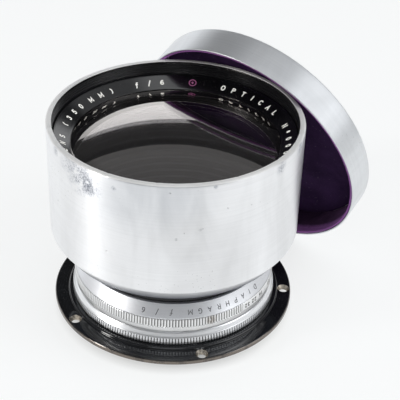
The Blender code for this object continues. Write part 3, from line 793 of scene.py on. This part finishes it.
# Width and strokes of each letter, in letter heights
GLYPHS = {
    'A': (0.70, [[(0, 0), (.35, 1), (.70, 0)], [(.13, .36), (.57, .36)]]),
    'C': (0.66, [arc(.37, .5, .37, .5, 48, 312, 16)]),
    'D': (0.66, [[(0, 0), (0, 1), (.22, 1)] + arc(.22, .5, .44, .5, 90, -90) + [(0, 0)]]),
    'E': (0.54, [[(.54, 1), (0, 1), (0, 0), (.54, 0)], [(0, .52), (.44, .52)]]),
    'G': (0.68, [arc(.37, .5, .37, .5, 52, 318, 16) + [(.68, .42), (.42, .42)]]),
    'H': (0.64, [[(0, 0), (0, 1)], [(.64, 0), (.64, 1)], [(0, .52), (.64, .52)]]),
    'I': (0.02, [[(0, 0), (0, 1)]]),
    'L': (0.50, [[(0, 1), (0, 0), (.50, 0)]]),
    'M': (0.80, [[(0, 0), (0, 1), (.40, .25), (.80, 1), (.80, 0)]]),
    'N': (0.64, [[(0, 0), (0, 1), (.64, 0), (.64, 1)]]),
    'O': (0.72, [arc(.36, .5, .36, .5, 90, 450, 20)]),
    'P': (0.56, [P_STROKE]),
    'R': (0.60, [P_STROKE, [(.30, .52), (.58, 0)]]),
    'S': (0.58, [arc(.29, .75, .26, .25, 40, 270, 10) + arc(.29, .25, .29, .25, 90, -140, 10)]),
    'T': (0.62, [[(0, 1), (.62, 1)], [(.31, 1), (.31, 0)]]),
    'f': (0.52, [[(.50, .96)] + arc(.36, .80, .12, .18, 70, 170, 6) + [(.10, -.12), (0, -.20)],
                 [(.04, .56), (.40, .56)]]),
    '0': (0.56, [arc(.28, .5, .28, .5, 90, 450, 18)]),
    '1': (0.20, [[(0, .78), (.20, 1), (.20, 0)]]),
    '2': (0.54, [arc(.27, .72, .27, .28, 165, -20, 9) + [(0, 0), (.54, 0)]]),
    '3': (0.52, [arc(.25, .76, .24, .24, 150, -80, 9) + arc(.25, .26, .27, .26, 80, -150, 10)]),
    '5': (0.54, [[(.50, 1), (.08, 1), (.03, .56)] + arc(.26, .33, .28, .33, 120, -145)]),
    '6': (0.54, [[(.46, .95)] + arc(.46, .35, .46, .62, 100, 180, 7)
                 + arc(.27, .29, .27, .29, 180, 540, 16)]),
    '8': (0.54, [arc(.27, .75, .23, .25, -90, 270, 14), arc(.27, .26, .27, .26, 90, 450, 16)]),
    '(': (0.20, [arc(.62, .5, .62, .72, 132, 228, 8)]),
    ')': (0.20, [arc(-.42, .5, .62, .72, 48, -48, 8)]),
    '/': (0.46, [[(0, -.12), (.46, 1.08)]]),
    'o': (0.30, [arc(.15, .80, .15, .18, 90, 450, 14), [(0.0, .46), (.30, .46)]]),
}
FILL_ABOVE, FILL_BELOW = 0.02, 0.10     # reach of a stroke above and below the surface, mm


def stroke_mesh(strokes, half, place):
    """Ribbons of half-width half, each closed or round-ended.
    place(u, v, height) gives a point on the engraved surface."""
    verts, faces = [], []

    def add_pair(flat):
        for height in (FILL_ABOVE, -FILL_BELOW):
            verts.append(place(flat.x, flat.y, height))

    for stroke in strokes:
        points = [Vector(stroke[0])]
        for point in map(Vector, stroke[1:]):
            if (point - points[-1]).length > 1e-4:
                points.append(point)
        closed = (points[0] - points[-1]).length < 1e-3 and len(points) > 3
        if closed:
            points.pop()
        count = len(points)
        legs = [(points[(i + 1) % count] - points[i]).normalized()
                for i in range(count if closed else count - 1)]

        # four vertices for each point: left top, left bottom, right top, right bottom
        base = len(verts)
        for i, point in enumerate(points):
            behind = legs[i - 1] if closed or i else legs[0]
            ahead = legs[min(i, len(legs) - 1)]
            along = behind + ahead
            if along.length < 1e-6:
                along = ahead
            along = along.normalized()
            side = Vector((-along.y, along.x))
            mitre = max(0.5, side.dot(Vector((-ahead.y, ahead.x))))
            add_pair(point + side * half / mitre)
            add_pair(point - side * half / mitre)
        for i in range(len(legs)):
            a = base + 4 * i
            b = base + 4 * ((i + 1) % count)
            faces += [(a, b, b + 2, a + 2), (a + 1, a + 3, b + 3, b + 1),
                      (a, a + 1, b + 1, b), (a + 2, b + 2, b + 3, a + 3)]
        if closed:
            continue

        # round ends, each a fan from one side of the ribbon to the other
        left, right = base + 4 * (count - 1), base + 4 * (count - 1) + 2
        for tip, outward, start, end in ((points[-1], legs[-1], left, right),
                                         (points[0], -legs[0], base + 2, base)):
            heading = atan2(outward.y, outward.x)
            chain = [start]
            for turn in (60, 30, 0, -30, -60):
                angle = heading + radians(turn)
                chain.append(len(verts))
                add_pair(tip + Vector((cos(angle), sin(angle))) * half)
            chain.append(end)
            faces.append(tuple(chain))
            faces.append(tuple(reversed([v + 1 for v in chain])))
            for a, b in zip(chain, chain[1:]):
                faces.append((a, a + 1, b + 1, b))
    return verts, faces


def engrave(name, items, height, half, foot, head, finish, slot, body="lens_body", mark=None):
    """Letters round a conical band, clockwise from above; items = [(character, azimuth)].
    foot and head are (radius, height) at the letters' foot and further up them.
    mark is a set of strokes drawn in place of each character."""
    length = math.hypot(head[0] - foot[0], head[1] - foot[1])
    up_r, up_z = (head[0] - foot[0]) / length, (head[1] - foot[1]) / length
    out_r, out_z = up_z, -up_r
    if (out_z < 0 and abs(out_z) > 0.3) or (abs(out_z) <= 0.3 and out_r < 0):
        out_r, out_z = -out_r, -out_z
    middle_r = foot[0] + up_r * height / 2
    verts, faces = [], []
    for character, azimuth in items:
        strokes = mark
        if mark is None:
            width, glyph = GLYPHS[character]
            strokes = [[((x - width / 2) * height, y * height) for x, y in stroke]
                       for stroke in glyph]

        def place(u, v, lift):
            return polar(foot[0] + up_r * v + out_r * lift, radians(azimuth) - u / middle_r,
                         foot[1] + up_z * v + out_z * lift)

        start = len(verts)
        more_verts, more_faces = stroke_mesh(strokes, half, place)
        verts += more_verts
        faces += [tuple(i + start for i in face) for face in more_faces]
    mesh_piece(name, verts, faces, finish, body, sharp=40)


def spread(words):
    """Characters with their azimuths, from (text, first azimuth, pitch) entries."""
    return [(character, first - pitch * i)
            for text, first, pitch in words for i, character in enumerate(text)]


# ---- Hood ----
# Nicks in the rim: azimuth, depth, width in mm
NICKS = [(-166, 0.16, 0.5), (-151, 0.10, 0.35), (-118, 0.14, 0.4), (-96, 0.07, 0.3),
         (-61, 0.12, 0.45), (-38, 0.20, 0.5), (-33, 0.12, 0.3), (-12, 0.22, 0.6),
         (-7, 0.14, 0.3), (24, 0.10, 0.5), (71, 0.12, 0.4), (113, 0.16, 0.6),
         (160, 0.12, 0.4)]
RIM_BAND = 0.9          # height of the damaged band
RIM_MIDDLE_R = 43.4     # nicks push the metal in outside this radius, out inside it


def rim_warp(angle, radius, z):
    """Tiny waves and nicks along the rim."""
    if z > HOOD_TOP - RIM_BAND:
        share = (z - (HOOD_TOP - RIM_BAND)) / RIM_BAND
        slow = noise.noise(Vector((cos(angle) * 14, sin(angle) * 14, 0.3)))
        quick = noise.noise(Vector((cos(angle) * 60, sin(angle) * 60, 4.2)))
        z += share * (0.035 * slow + 0.025 * quick)
        for azimuth, depth, width in NICKS:
            away = (angle - radians(azimuth) + pi) % (2 * pi) - pi
            fall = math.exp(-(away * HOOD_R / width) ** 2)
            z -= share * depth * fall
            if radius > RIM_MIDDLE_R:
                radius -= 0.5 * share * depth * fall
            else:
                radius += 0.3 * share * depth * fall
    return radius, z


# Radius, height, fillet: over the rim, down the outside, round the foot, up the inside
HOOD_CORNERS = [
    (HOOD_BORE, 72.55, 0), (HOOD_BORE + 0.12, HOOD_TOP, 0.62), (HOOD_R, HOOD_TOP, 0.80),
    (HOOD_R, 31.49, 0.9), (40.81, 26.36, 0.45), (33.35, 26.36, 0.2),
    (33.35, 28.0, 0.2), (39.6, 28.0, 0.5), (HOOD_BORE, 32.2, 0.5),
]
hood_profile = [point for point in refined(rounded(HOOD_CORNERS, steps=7), 2.2)
                if not (abs(point[0] - HOOD_BORE) < 1e-6 and 68.5 < point[1] < 72.4)]
# fine grooves inside the mouth, above the name ring
groove_z = 68.9
while groove_z < 72.2:
    for cut_depth, rise in ((0, 0), (0.14, 0.13), (0, 0.26), (0, 0.40)):
        hood_profile.append((HOOD_BORE + cut_depth, groove_z + rise))
    groove_z += 0.42
hood = lathe("hood_shell", hood_profile, "hood", segments=360, warp=rim_warp, sharp=38)
hood.data.materials.append(FINISHES["hood_inside"])
for polygon in hood.data.polygons:
    centre, normal = polygon.center, polygon.normal
    radius, z = math.hypot(centre.x, centre.y) / MILLI, centre.z / MILLI
    inward = normal.x * centre.x + normal.y * centre.y < 1e-9
    on_bore = radius < HOOD_BORE + 0.20 and inward
    if 27.9 < z < HOOD_TOP - 0.30 and (on_bore or (radius < 42.2 and z < 34)):
        polygon.material_index = 1
stand_in("hood", "satin_aluminium")

# ---- Name ring and its engraving ----
NAME_IN_R, NAME_IN_Z = 36.30, 64.78
NAME_OUT_R, NAME_OUT_Z = 42.02, 68.14
name_profile = rounded([(NAME_OUT_R, NAME_OUT_Z, 0.10), (NAME_IN_R, NAME_IN_Z, 0.05),
                        (NAME_IN_R, 64.62, 0.03), (39.95, 63.62, 0.2),
                        (NAME_OUT_R, 63.95, 0.1)], steps=4)
name_ring = lathe("name_ring_turned", refined(name_profile, 0.9), "name_ring", segments=288)
stand_in("name_ring", "name_ring_black")


def name_cone(share):
    """Point on the name ring's face, 0 at the glass, 1 at the hood."""
    return (NAME_IN_R + (NAME_OUT_R - NAME_IN_R) * share,
            NAME_IN_Z + (NAME_OUT_Z - NAME_IN_Z) * share)


# Text, azimuth of its first letter, pitch in degrees
NAME_TEXT = {
    "a": [("LENS", 205.5, 6.6)],
    "b": [("(350", 173.4, 6.8), ("MM)", 144.2, 7.4)],
    "c": [("f/6", 113.9, 7.1)],
    "d": [("OPTICAL", 65.1, 6.4)],
    "e": [("No", 12.2, 6.6), ("000", -1.0, 7.0)],
}
name_band = {"height": 1.80, "foot": name_cone(0.325), "head": name_cone(0.95),
             "slot": "name_ring_black"}
for label, words in NAME_TEXT.items():
    engrave("name_lettering_" + label, spread(words), half=0.22, finish="white", **name_band)
# a cross in a ring
RING_MARK = [[(1.30 * cos(radians(q)), 0.95 + 1.30 * sin(radians(q))) for q in range(0, 361, 15)],
             [(-0.45, 0.95), (0.45, 0.95)], [(0.0, 0.50), (0.0, 1.40)]]
engrave("name_ring_mark", [('o', 82.8)], half=0.13, finish="pink", mark=RING_MARK, **name_band)

# ---- Glass ----
FRONT_EDGE, REAR_EDGE = 39.6, 25.3
# Name, CAD piece, finish, slot, edge radius, segments, then the upper and lower face as
# (curve radius, height at the axis, -1 if it falls or 1 if it rises to the edge, steps)
LENSES = [
    ("front_meniscus_polished", "front_crown_element", "front_glass", "front_glass",
     FRONT_EDGE, 192, (104.0, 71.04, -1, 30), (104.0, 66.54, -1, 30)),
    ("front_inner_polished", "front_flint_element", "inner_glass", "front_glass",
     FRONT_EDGE, 192, (104.0, 66.24, -1, 30), (100.0, 61.94, -1, 30)),
    ("rear_flint_polished", "rear_flint_element", "rear_glass", "rear_glass",
     REAR_EDGE, 144, (640.0, 3.6, 1, 10), (130.0, 2.4, -1, 14)),
    ("rear_crown_polished", "rear_crown_element", "rear_glass", "rear_glass",
     REAR_EDGE, 144, (130.0, 2.1, -1, 14), (360.0, -2.9, 1, 10)),
]


def lens_face(edge, curve, vertex, bend, steps):
    return [(edge * i / steps,
             vertex + bend * (curve - sqrt(curve * curve - (edge * i / steps) ** 2)))
            for i in range(steps + 1)]


for name, cad_piece, finish, slot, edge, segments, upper, lower in LENSES:
    lens_profile = lens_face(edge, *upper) + lens_face(edge, *lower)[::-1]
    lens = lathe(name, lens_profile, finish, segments=segments, closed=False, sharp=25)
    stand_in(cad_piece, slot)

# ---- Front cell with baffle steps, rear cell, rear retaining ring ----
front_cell = [(32.25, 14.6), (32.25, 18.95), (33.00, 18.95), (33.00, 28.3), (37.6, 28.3),
              (37.6, 30.2), (41.9, 49.0), (41.9, 63.4), (40.0, 63.4), (40.0, 53.5),
              (37.9, 53.5), (37.9, 48.6)]
BAFFLES = 9
baffle_top, baffle_foot = (37.6, 48.6), (31.2, 27.2)


def baffle_point(share):
    return [top + (foot - top) * share for top, foot in zip(baffle_top, baffle_foot)]


for i in range(BAFFLES):
    step_r, step_z = baffle_point(i / BAFFLES)
    next_z = baffle_point((i + 1) / BAFFLES)[1]
    front_cell += [(step_r, step_z - 0.2), (step_r, next_z + 0.25)]
front_cell += [(30.9, 27.0), (30.9, 14.6)]
cell = lathe("front_cell_turned", rounded([(*point, 0.15) for point in front_cell], steps=2),
             "cell", segments=192)
stand_in("front_cell", "cell_black")

rear_cell = lathe("rear_cell_turned", rounded([
    (25.6, -3.7, .1), (27.0, -3.7, .3), (27.0, 5.35, .3),
    (24.6, 5.35, .15), (24.6, 4.4, .15), (25.6, 4.4, .05)], steps=3), "cell", segments=192)
stand_in("rear_cell", "cell_black")

rear_ring = lathe("rear_ring_turned", rounded([
    (23.8, -3.7, .2), (25.3, -3.7, .2), (25.3, -2.5, .1), (24.1, -2.5, .1)], steps=3),
    "cell", segments=192)
# two opposite round notches
NOTCH_R, NOTCH_HALF = 0.55, 1.2
NOTCH = [(0, -NOTCH_HALF), (NOTCH_R, -NOTCH_HALF), (NOTCH_R, NOTCH_HALF), (0, NOTCH_HALF)]
cut(rear_ring, [hole_cutter(NOTCH, radius=24.6, azimuth=azimuth, z=-3.5, segments=20)
                for azimuth in (30, 210)])
stand_in("rear_retaining_ring", "cell_black")

# ---- Main barrel: engraved shoulder, threaded tube, window for the drive screw ----
TUBE_R, THREAD_ROOT_R, THREAD_PITCH = 33.40, 33.12, 0.56
RING_BORE = 33.75       # bore of the flange and of both knurled rings
barrel_profile = [
    (TUBE_R, -3.9), (33.25, -4.05), (27.6, -4.05), (27.3, -3.75), (27.3, 5.70), (32.60, 5.70),
    (32.60, 18.35), (32.85, 18.62), (33.55, 18.62), (33.86, 18.45), (36.10, 14.05),
    (36.23, 13.90), (36.23, 13.60), (TUBE_R, 13.60), (TUBE_R, 8.3)]
thread_z = 7.9
while thread_z > -3.6:
    barrel_profile += [(TUBE_R, thread_z), (TUBE_R, thread_z - 0.10),
                       (THREAD_ROOT_R, thread_z - 0.30), (THREAD_ROOT_R, thread_z - 0.36)]
    thread_z -= THREAD_PITCH
barrel = lathe("barrel_turned", barrel_profile, "barrel", segments=288)
cut(barrel, [arc_cutter(radii=(31.0, 34.6), heights=(DRIVE_Z - 0.75, DRIVE_Z + 0.75),
                        azimuths=(DRIVE_AZ - 2.2, DRIVE_AZ + 58.2))])
stand_in("main_barrel", "barrel_aluminium")

# shoulder lettering, with its tops towards the flange
for label, words in (("a", [("DIAPHRAGM", -32.8, 5.72)]), ("b", [("f/6", -89.4, 7.9)])):
    engrave("shoulder_lettering_" + label, spread(words), height=1.70, half=0.13,
            foot=(34.86, 16.48), head=(36.10, 14.05), finish="grey", slot="barrel_aluminium")
# index line for the aperture figures
INDEX_AZ = DRIVE_AZ + 81.0
engrave("shoulder_index_line", [('-', INDEX_AZ)], height=1.0, half=0.14, foot=(35.60, 15.00),
        head=(36.20, 13.80), finish="grey", slot="barrel_aluminium",
        mark=[[(0, -0.55), (0, 1.1)]])

# ---- Lock ring and aperture ring with straight knurls ----
lock_profile = refined(rounded([
    (RING_BORE, 3.12, 0.1), (37.0, 3.12, 0.1), (37.45, 3.35, 0.12), (37.57, 3.80, 0.3),
    (37.47, 4.50, 0.3), (37.30, 5.20, 0.3), (37.10, 5.86, 0.03), (37.34, 6.00, 0.03),
    (37.10, 6.35, 0.5), (36.62, 7.62, 0.25), (36.36, 8.03, 0.1), (RING_BORE, 8.03, 0.1),
], steps=3), 0.7)
lock_ring = knurled("lock_ring_knurled", lock_profile, band=(3.25, 5.80), depth=0.42,
                    finish="lock_ring")
stand_in("lock_ring", "bright_ring_aluminium")

aperture_profile = refined(rounded([
    (RING_BORE, 8.15, 0.1), (36.25, 8.15, 0.05), (36.42, 8.32, 0.05), (36.42, 10.02, 0),
    (36.62, 10.12, 0), (36.67, 10.40, 0.05), (36.44, 13.30, 0.1), (36.30, 13.49, 0.1),
    (RING_BORE, 13.49, 0.1)], steps=2), 0.7)
aperture_ring = knurled("aperture_ring_knurled", aperture_profile, band=(10.2, 13.46),
                        depth=0.40, finish="aperture_ring", body="aperture_ring",
                        plain=(DRIVE_AZ + 21.5, DRIVE_AZ + 86.0))
stand_in("aperture_ring", "bright_ring_aluminium")

# figures on the smooth stretch; each meets the index line at its own turn of the ring
FIGURE_TURNS = [("6", 0.0), ("8", 17.1), ("11", 31.1), ("16", 43.0), ("22", 50.2), ("32", 56.2)]
DIGIT_OFFSET = 1.15     # degrees each way for a pair of digits
for figure, turn in FIGURE_TURNS:
    azimuth = INDEX_AZ - turn
    items = [(figure, azimuth)]
    if len(figure) == 2:
        items = [(figure[0], azimuth + DIGIT_OFFSET), (figure[1], azimuth - DIGIT_OFFSET)]
    engrave("aperture_figure_" + figure, items, height=1.35, half=0.13, foot=(36.53, 12.45),
            head=(36.66, 10.5), finish="black", slot="bright_ring_aluminium",
            body="aperture_ring")

# drive screw, lying along a radius with its head outwards
screw_matrix = (Matrix.Translation(AXIS) @ Matrix.Rotation(radians(DRIVE_AZ), 4, 'Z')
                @ Matrix.Translation((0, 0, DRIVE_Z * MILLI)) @ Matrix.Rotation(pi / 2, 4, 'Y'))
SCREW_R, SCREW_HEAD_R = 0.55, 0.62
screw = lathe("drive_screw_turned", rounded([
    (0, 31.75, 0), (0.45, 31.75, .05), (SCREW_R, 31.9, .05), (SCREW_R, 35.4, .05),
    (SCREW_HEAD_R, 35.5, .05), (SCREW_HEAD_R, 36.25, .05), (0.5, 36.35, .05), (0, 36.35, 0),
], steps=2), "screw", "aperture_ring", segments=32, closed=False, matrix=screw_matrix)
stand_in("aperture_drive_screw", "screw_steel")

# ---- Mounting flange with five countersunk holes ----
PLATE_TOP, COLLAR_TOP = 1.80, 2.85
HOLES, HOLE_CIRCLE_R, HOLE_R, FIRST_HOLE_AZ = 5, 41.45, 1.50, -146.0
flange_profile = rounded([
    (RING_BORE, 0.0, 0.1), (44.05, 0.0, 0.1), (44.18, 0.14, 0.1), (44.18, 1.40, 0.2),
    (43.85, PLATE_TOP, 0.25), (39.15, PLATE_TOP, 0.25), (38.98, COLLAR_TOP, 0.80),
    (RING_BORE, COLLAR_TOP, 0.1)], steps=6)
flange = lathe("flange_turned", refined(flange_profile, 1.2), "flange", segments=288)
COUNTERSUNK = [(0, -1.0), (HOLE_R, -1.0), (HOLE_R, PLATE_TOP - 0.80), (2.90, PLATE_TOP + 0.60),
               (0, PLATE_TOP + 0.60)]
cut(flange, [hole_cutter(COUNTERSUNK, radius=HOLE_CIRCLE_R, z=0, segments=40,
                         azimuth=FIRST_HOLE_AZ + 360 / HOLES * i) for i in range(HOLES)])
stand_in("mounting_flange", "flange_black")

# ---- Iris: CAD pieces keep their shape, with their own finishes ----


def dress(cad_piece, finish):
    materials = cad["nodes"][cad_piece].data.materials
    materials.clear()
    materials.append(FINISHES[finish])


for cad_piece in cad["nodes"]:
    if cad_piece.startswith("iris_blade"):
        dress(cad_piece, "blade")
dress("iris_cam_ring", "brass")
dress("iris_seat_plate", "brass")
dress("iris_retainer", "cell")

# ---- Cap ----
shell_profile = refined(rounded([
    (0, CAP_FLOOR, 0), (CAP_BORE, CAP_FLOOR, 0.3), (CAP_BORE, 0.0, 0.25), (CAP_R, 0.0, 0.30),
    (CAP_R, CAP_DEPTH, 0.95), (0, CAP_DEPTH, 0)], steps=6), 2.0, closed=False)
shell = lathe("cap_shell_turned", shell_profile, "cap", "cap", segments=360, closed=False,
              baked=CAP_AXES, sharp=40)
shell.data.materials.append(FINISHES["cap_face"])
to_cap = CAP_AXES.inverted()
for polygon in shell.data.polygons:
    centre, normal = to_cap @ polygon.center, to_cap.to_3x3() @ polygon.normal
    in_face = math.hypot(centre.x, centre.y) < (CAP_R - 0.9) * MILLI
    if abs(normal.z) > 0.9 and centre.z > 0.5 * CAP_DEPTH * MILLI and in_face:
        polygon.material_index = 1
stand_in("cap_shell", "cap_aluminium")

PILE = 0.90                             # thickness of the wall lining
LINING_R = CAP_BORE - 0.15
LINING_IN_R = LINING_R - PILE
LINING_TOP = CAP_FLOOR - 0.15
LINING_LIP = 0.32
DISC_R = LINING_IN_R - 0.3


def wall_warp(angle, radius, z):
    """Uneven pile on the lining's inner face and lip."""
    if radius < LINING_R - 0.35:
        radius += (
            0.07 * noise.noise(Vector((cos(angle) * 9, sin(angle) * 9, z * 0.35)))
            + 0.035 * noise.noise(Vector((cos(angle) * 70, sin(angle) * 70, z * 1.7))))
    if z < 1.0:
        z += 0.10 * noise.noise(Vector((cos(angle) * 12, sin(angle) * 12, 7.7)))
    return radius, z


def disc_warp(angle, radius, z):
    """Uneven pile on the disc's open face, which bends towards the floor at its edge."""
    if z < CAP_FLOOR - 0.45:
        edge = 0.0
        if radius > LINING_IN_R - 2.5:
            edge = max(0.0, 1.0 - ((DISC_R - radius) / 2.2))
        x, y = radius * cos(angle), radius * sin(angle)
        z += (0.16 * edge + 0.06 * noise.noise(Vector((x * 0.12, y * 0.12, 1.0)))
              + 0.02 * noise.noise(Vector((x * 0.8, y * 0.8, 3.0))))
    return radius, z


wall_profile = refined(rounded([
    (LINING_IN_R, LINING_LIP, 0.42), (LINING_R, LINING_LIP, 0.40),
    (LINING_R, LINING_TOP, 0.1), (LINING_IN_R, LINING_TOP, 0.2)], steps=7), 0.5)
wall = lathe("cap_wall_lining", wall_profile, "velvet_wall", "cap", segments=400,
             baked=CAP_AXES, warp=wall_warp, sharp=60)
stand_in("cap_wall_velvet", "purple_velvet")

disc_profile = refined([(0, CAP_FLOOR - 0.97), (DISC_R - 0.25, CAP_FLOOR - 0.97),
                        (DISC_R, CAP_FLOOR - 0.8), (DISC_R, LINING_TOP), (0, LINING_TOP)],
                       1.0, closed=False)
disc = lathe("cap_floor_lining", disc_profile, "velvet_floor", "cap", segments=256,
             closed=False, baked=CAP_AXES, warp=disc_warp, sharp=60)
stand_in("cap_disc_velvet", "purple_velvet")

# ---- Floor ----


def paper():
    """Pale paper that glows evenly, with a painted shadow round and under the flange where its
    glow is dimmed.
    """
    net = Finish("paper_floor")
    cloud = net.noise(net.coords(), scale=3.0, detail=4.0, rough=0.6)
    colour = net.mix((0.295, 0.30, 0.30), (0.31, 0.315, 0.315),
                     amount=net.remap(cloud, over=(0.3, 0.7)))
    x, y, _ = net.sep(net.coords())
    away = net.math('SQRT', net.add(net.math('POWER', net.sub(x, AXIS_X), 2.0),
                                    net.math('POWER', net.sub(y, AXIS_Y), 2.0)))
    # painted shadow: the glow is dimmed near the flange's edge, and more under it
    painted_shadow_round = net.remap(away, over=(0.0385, 0.0452), to=(0.50, 0.785))
    painted_shadow_under = net.remap(away, over=(0.0335, 0.0380), to=(0.35, 1.0))
    glow = net.build("Emission", Color=(0.955, 0.965, 0.965), Strength=net.mul(painted_shadow_round, painted_shadow_under))
    diffuse = net.build("BsdfDiffuse", Color=colour)
    return net.surface(net.indexed("AddShader", diffuse, glow))


# Extent in metres and number of cells each way
FLOOR_X0, FLOOR_X1, FLOOR_Y0, FLOOR_Y1, CELLS = -3.0, 1.2, -3.0, 3.0, 24
ROW = CELLS + 1
floor_mesh = bpy.data.meshes.new("floor")
floor_mesh.from_pydata(
    [(FLOOR_X0 + (FLOOR_X1 - FLOOR_X0) * i / CELLS, FLOOR_Y0 + (FLOOR_Y1 - FLOOR_Y0) * j / CELLS,
      0.0) for j in range(ROW) for i in range(ROW)], [],
    [(j * ROW + i, j * ROW + i + 1, (j + 1) * ROW + i + 1, (j + 1) * ROW + i)
     for j in range(CELLS) for i in range(CELLS)])
floor_mesh.materials.append(paper())
new_object("floor", floor_mesh)

# ---- Lights ----


def softbox(name, azimuth, distance, z, width, height, power, colour):
    """Panel aimed at the axis; azimuth from the camera side, positive to the right."""
    light = bpy.data.lights.new(name, 'AREA')
    light.shape = 'RECTANGLE'
    light.size = width
    light.size_y = height
    light.energy = power
    light.color = colour
    panel = new_object(name, light)
    angle = radians(azimuth)
    place = (AXIS_X + distance * sin(angle), AXIS_Y - distance * cos(angle), z)
    panel.location = place
    aim = Vector((AXIS_X, AXIS_Y, z * 0.55)) - Vector(place)
    panel.rotation_euler = aim.to_track_quat('-Z', 'Y').to_euler()


softbox("key_left", azimuth=-66, distance=1.40, z=0.45, width=0.24, height=0.90, power=8.2,
        colour=(1.0, 0.985, 0.965))
softbox("front_top", azimuth=-6, distance=1.10, z=1.65, width=0.90, height=0.60, power=4.4,
        colour=(0.94, 0.97, 1.0))
softbox("fill_right", azimuth=74, distance=1.20, z=1.00, width=0.95, height=1.50, power=7.4,
        colour=(0.97, 0.985, 1.0))


def studio_world():
    """A white sweep behind, a dark gap above it, then a pale ceiling panel."""
    world = bpy.data.worlds.new("studio")
    scene.world = world
    world.use_nodes = True
    net = Net(world.node_tree)
    x, y, z = net.sep(net.node("TexCoord").outputs["Generated"])

    def edge(value, soft=0.006):
        """1 where value > 0, with a short soft edge."""
        return net.remap(value, over=(-soft, soft))

    def blend(share, first, second):
        return net.add(net.mul(net.sub(1.0, share), first), net.mul(share, second))

    sweep = edge(net.sub(net.mul(y, 0.505), z))
    above_gap = edge(net.sub(z, net.mul(y, 1.02)))
    # the ceiling panel's left edge slants
    panel = edge(net.add(net.add(x, net.mul(y, 0.60)), net.mul(z, 0.12)), soft=0.05)
    ceiling = blend(panel, first=0.14, second=0.34)
    overhead = net.remap(z, over=(0.945, 0.975))
    ceiling = blend(overhead, ceiling, second=1.0)
    level = blend(above_gap, first=0.045, second=ceiling)
    level = blend(sweep, level, second=1.25)
    # dark strip beyond the floor's right edge
    right = net.remap(x, over=(0.45, 0.75))
    low = net.remap(z, over=(0.03, 0.14), to=(1.0, 0.0))
    level = blend(net.mul(right, low), level, second=0.12)
    # plain pale backdrop wherever the camera sees past the floor
    level = blend(net.node("LightPath").outputs["Is Camera Ray"], level, second=0.93)
    background = net.build("Background", Color=(0.965, 0.98, 1.0, 1), Strength=level)
    net.put(net.node("OutputWorld").inputs[0], background)


studio_world()

# ---- Camera: looks down and is slightly rolled ----
TILT, ROLL = radians(33.38), radians(1.83)
CAMERA_PLACE = (0.20418, -7.3557, 5.7320)       # from the flange's centre, in hood radii
lens_data = bpy.data.cameras.new("camera")
lens_data.lens = 98.19
lens_data.sensor_width = 36.0
lens_data.clip_start = 0.01
camera = new_object("camera", lens_data)
right = Vector((1, 0, 0))
up = Vector((0, sin(TILT), cos(TILT)))
backward = Vector((0, -cos(TILT), sin(TILT)))
turn = Matrix((right * cos(ROLL) + up * sin(ROLL), -right * sin(ROLL) + up * cos(ROLL),
               backward)).transposed()
hood_radius = HOOD_R * MILLI
camera_offset = Vector([share * hood_radius for share in CAMERA_PLACE])
camera.matrix_world = Matrix.Translation(AXIS + camera_offset) @ turn.to_4x4()
scene.camera = camera
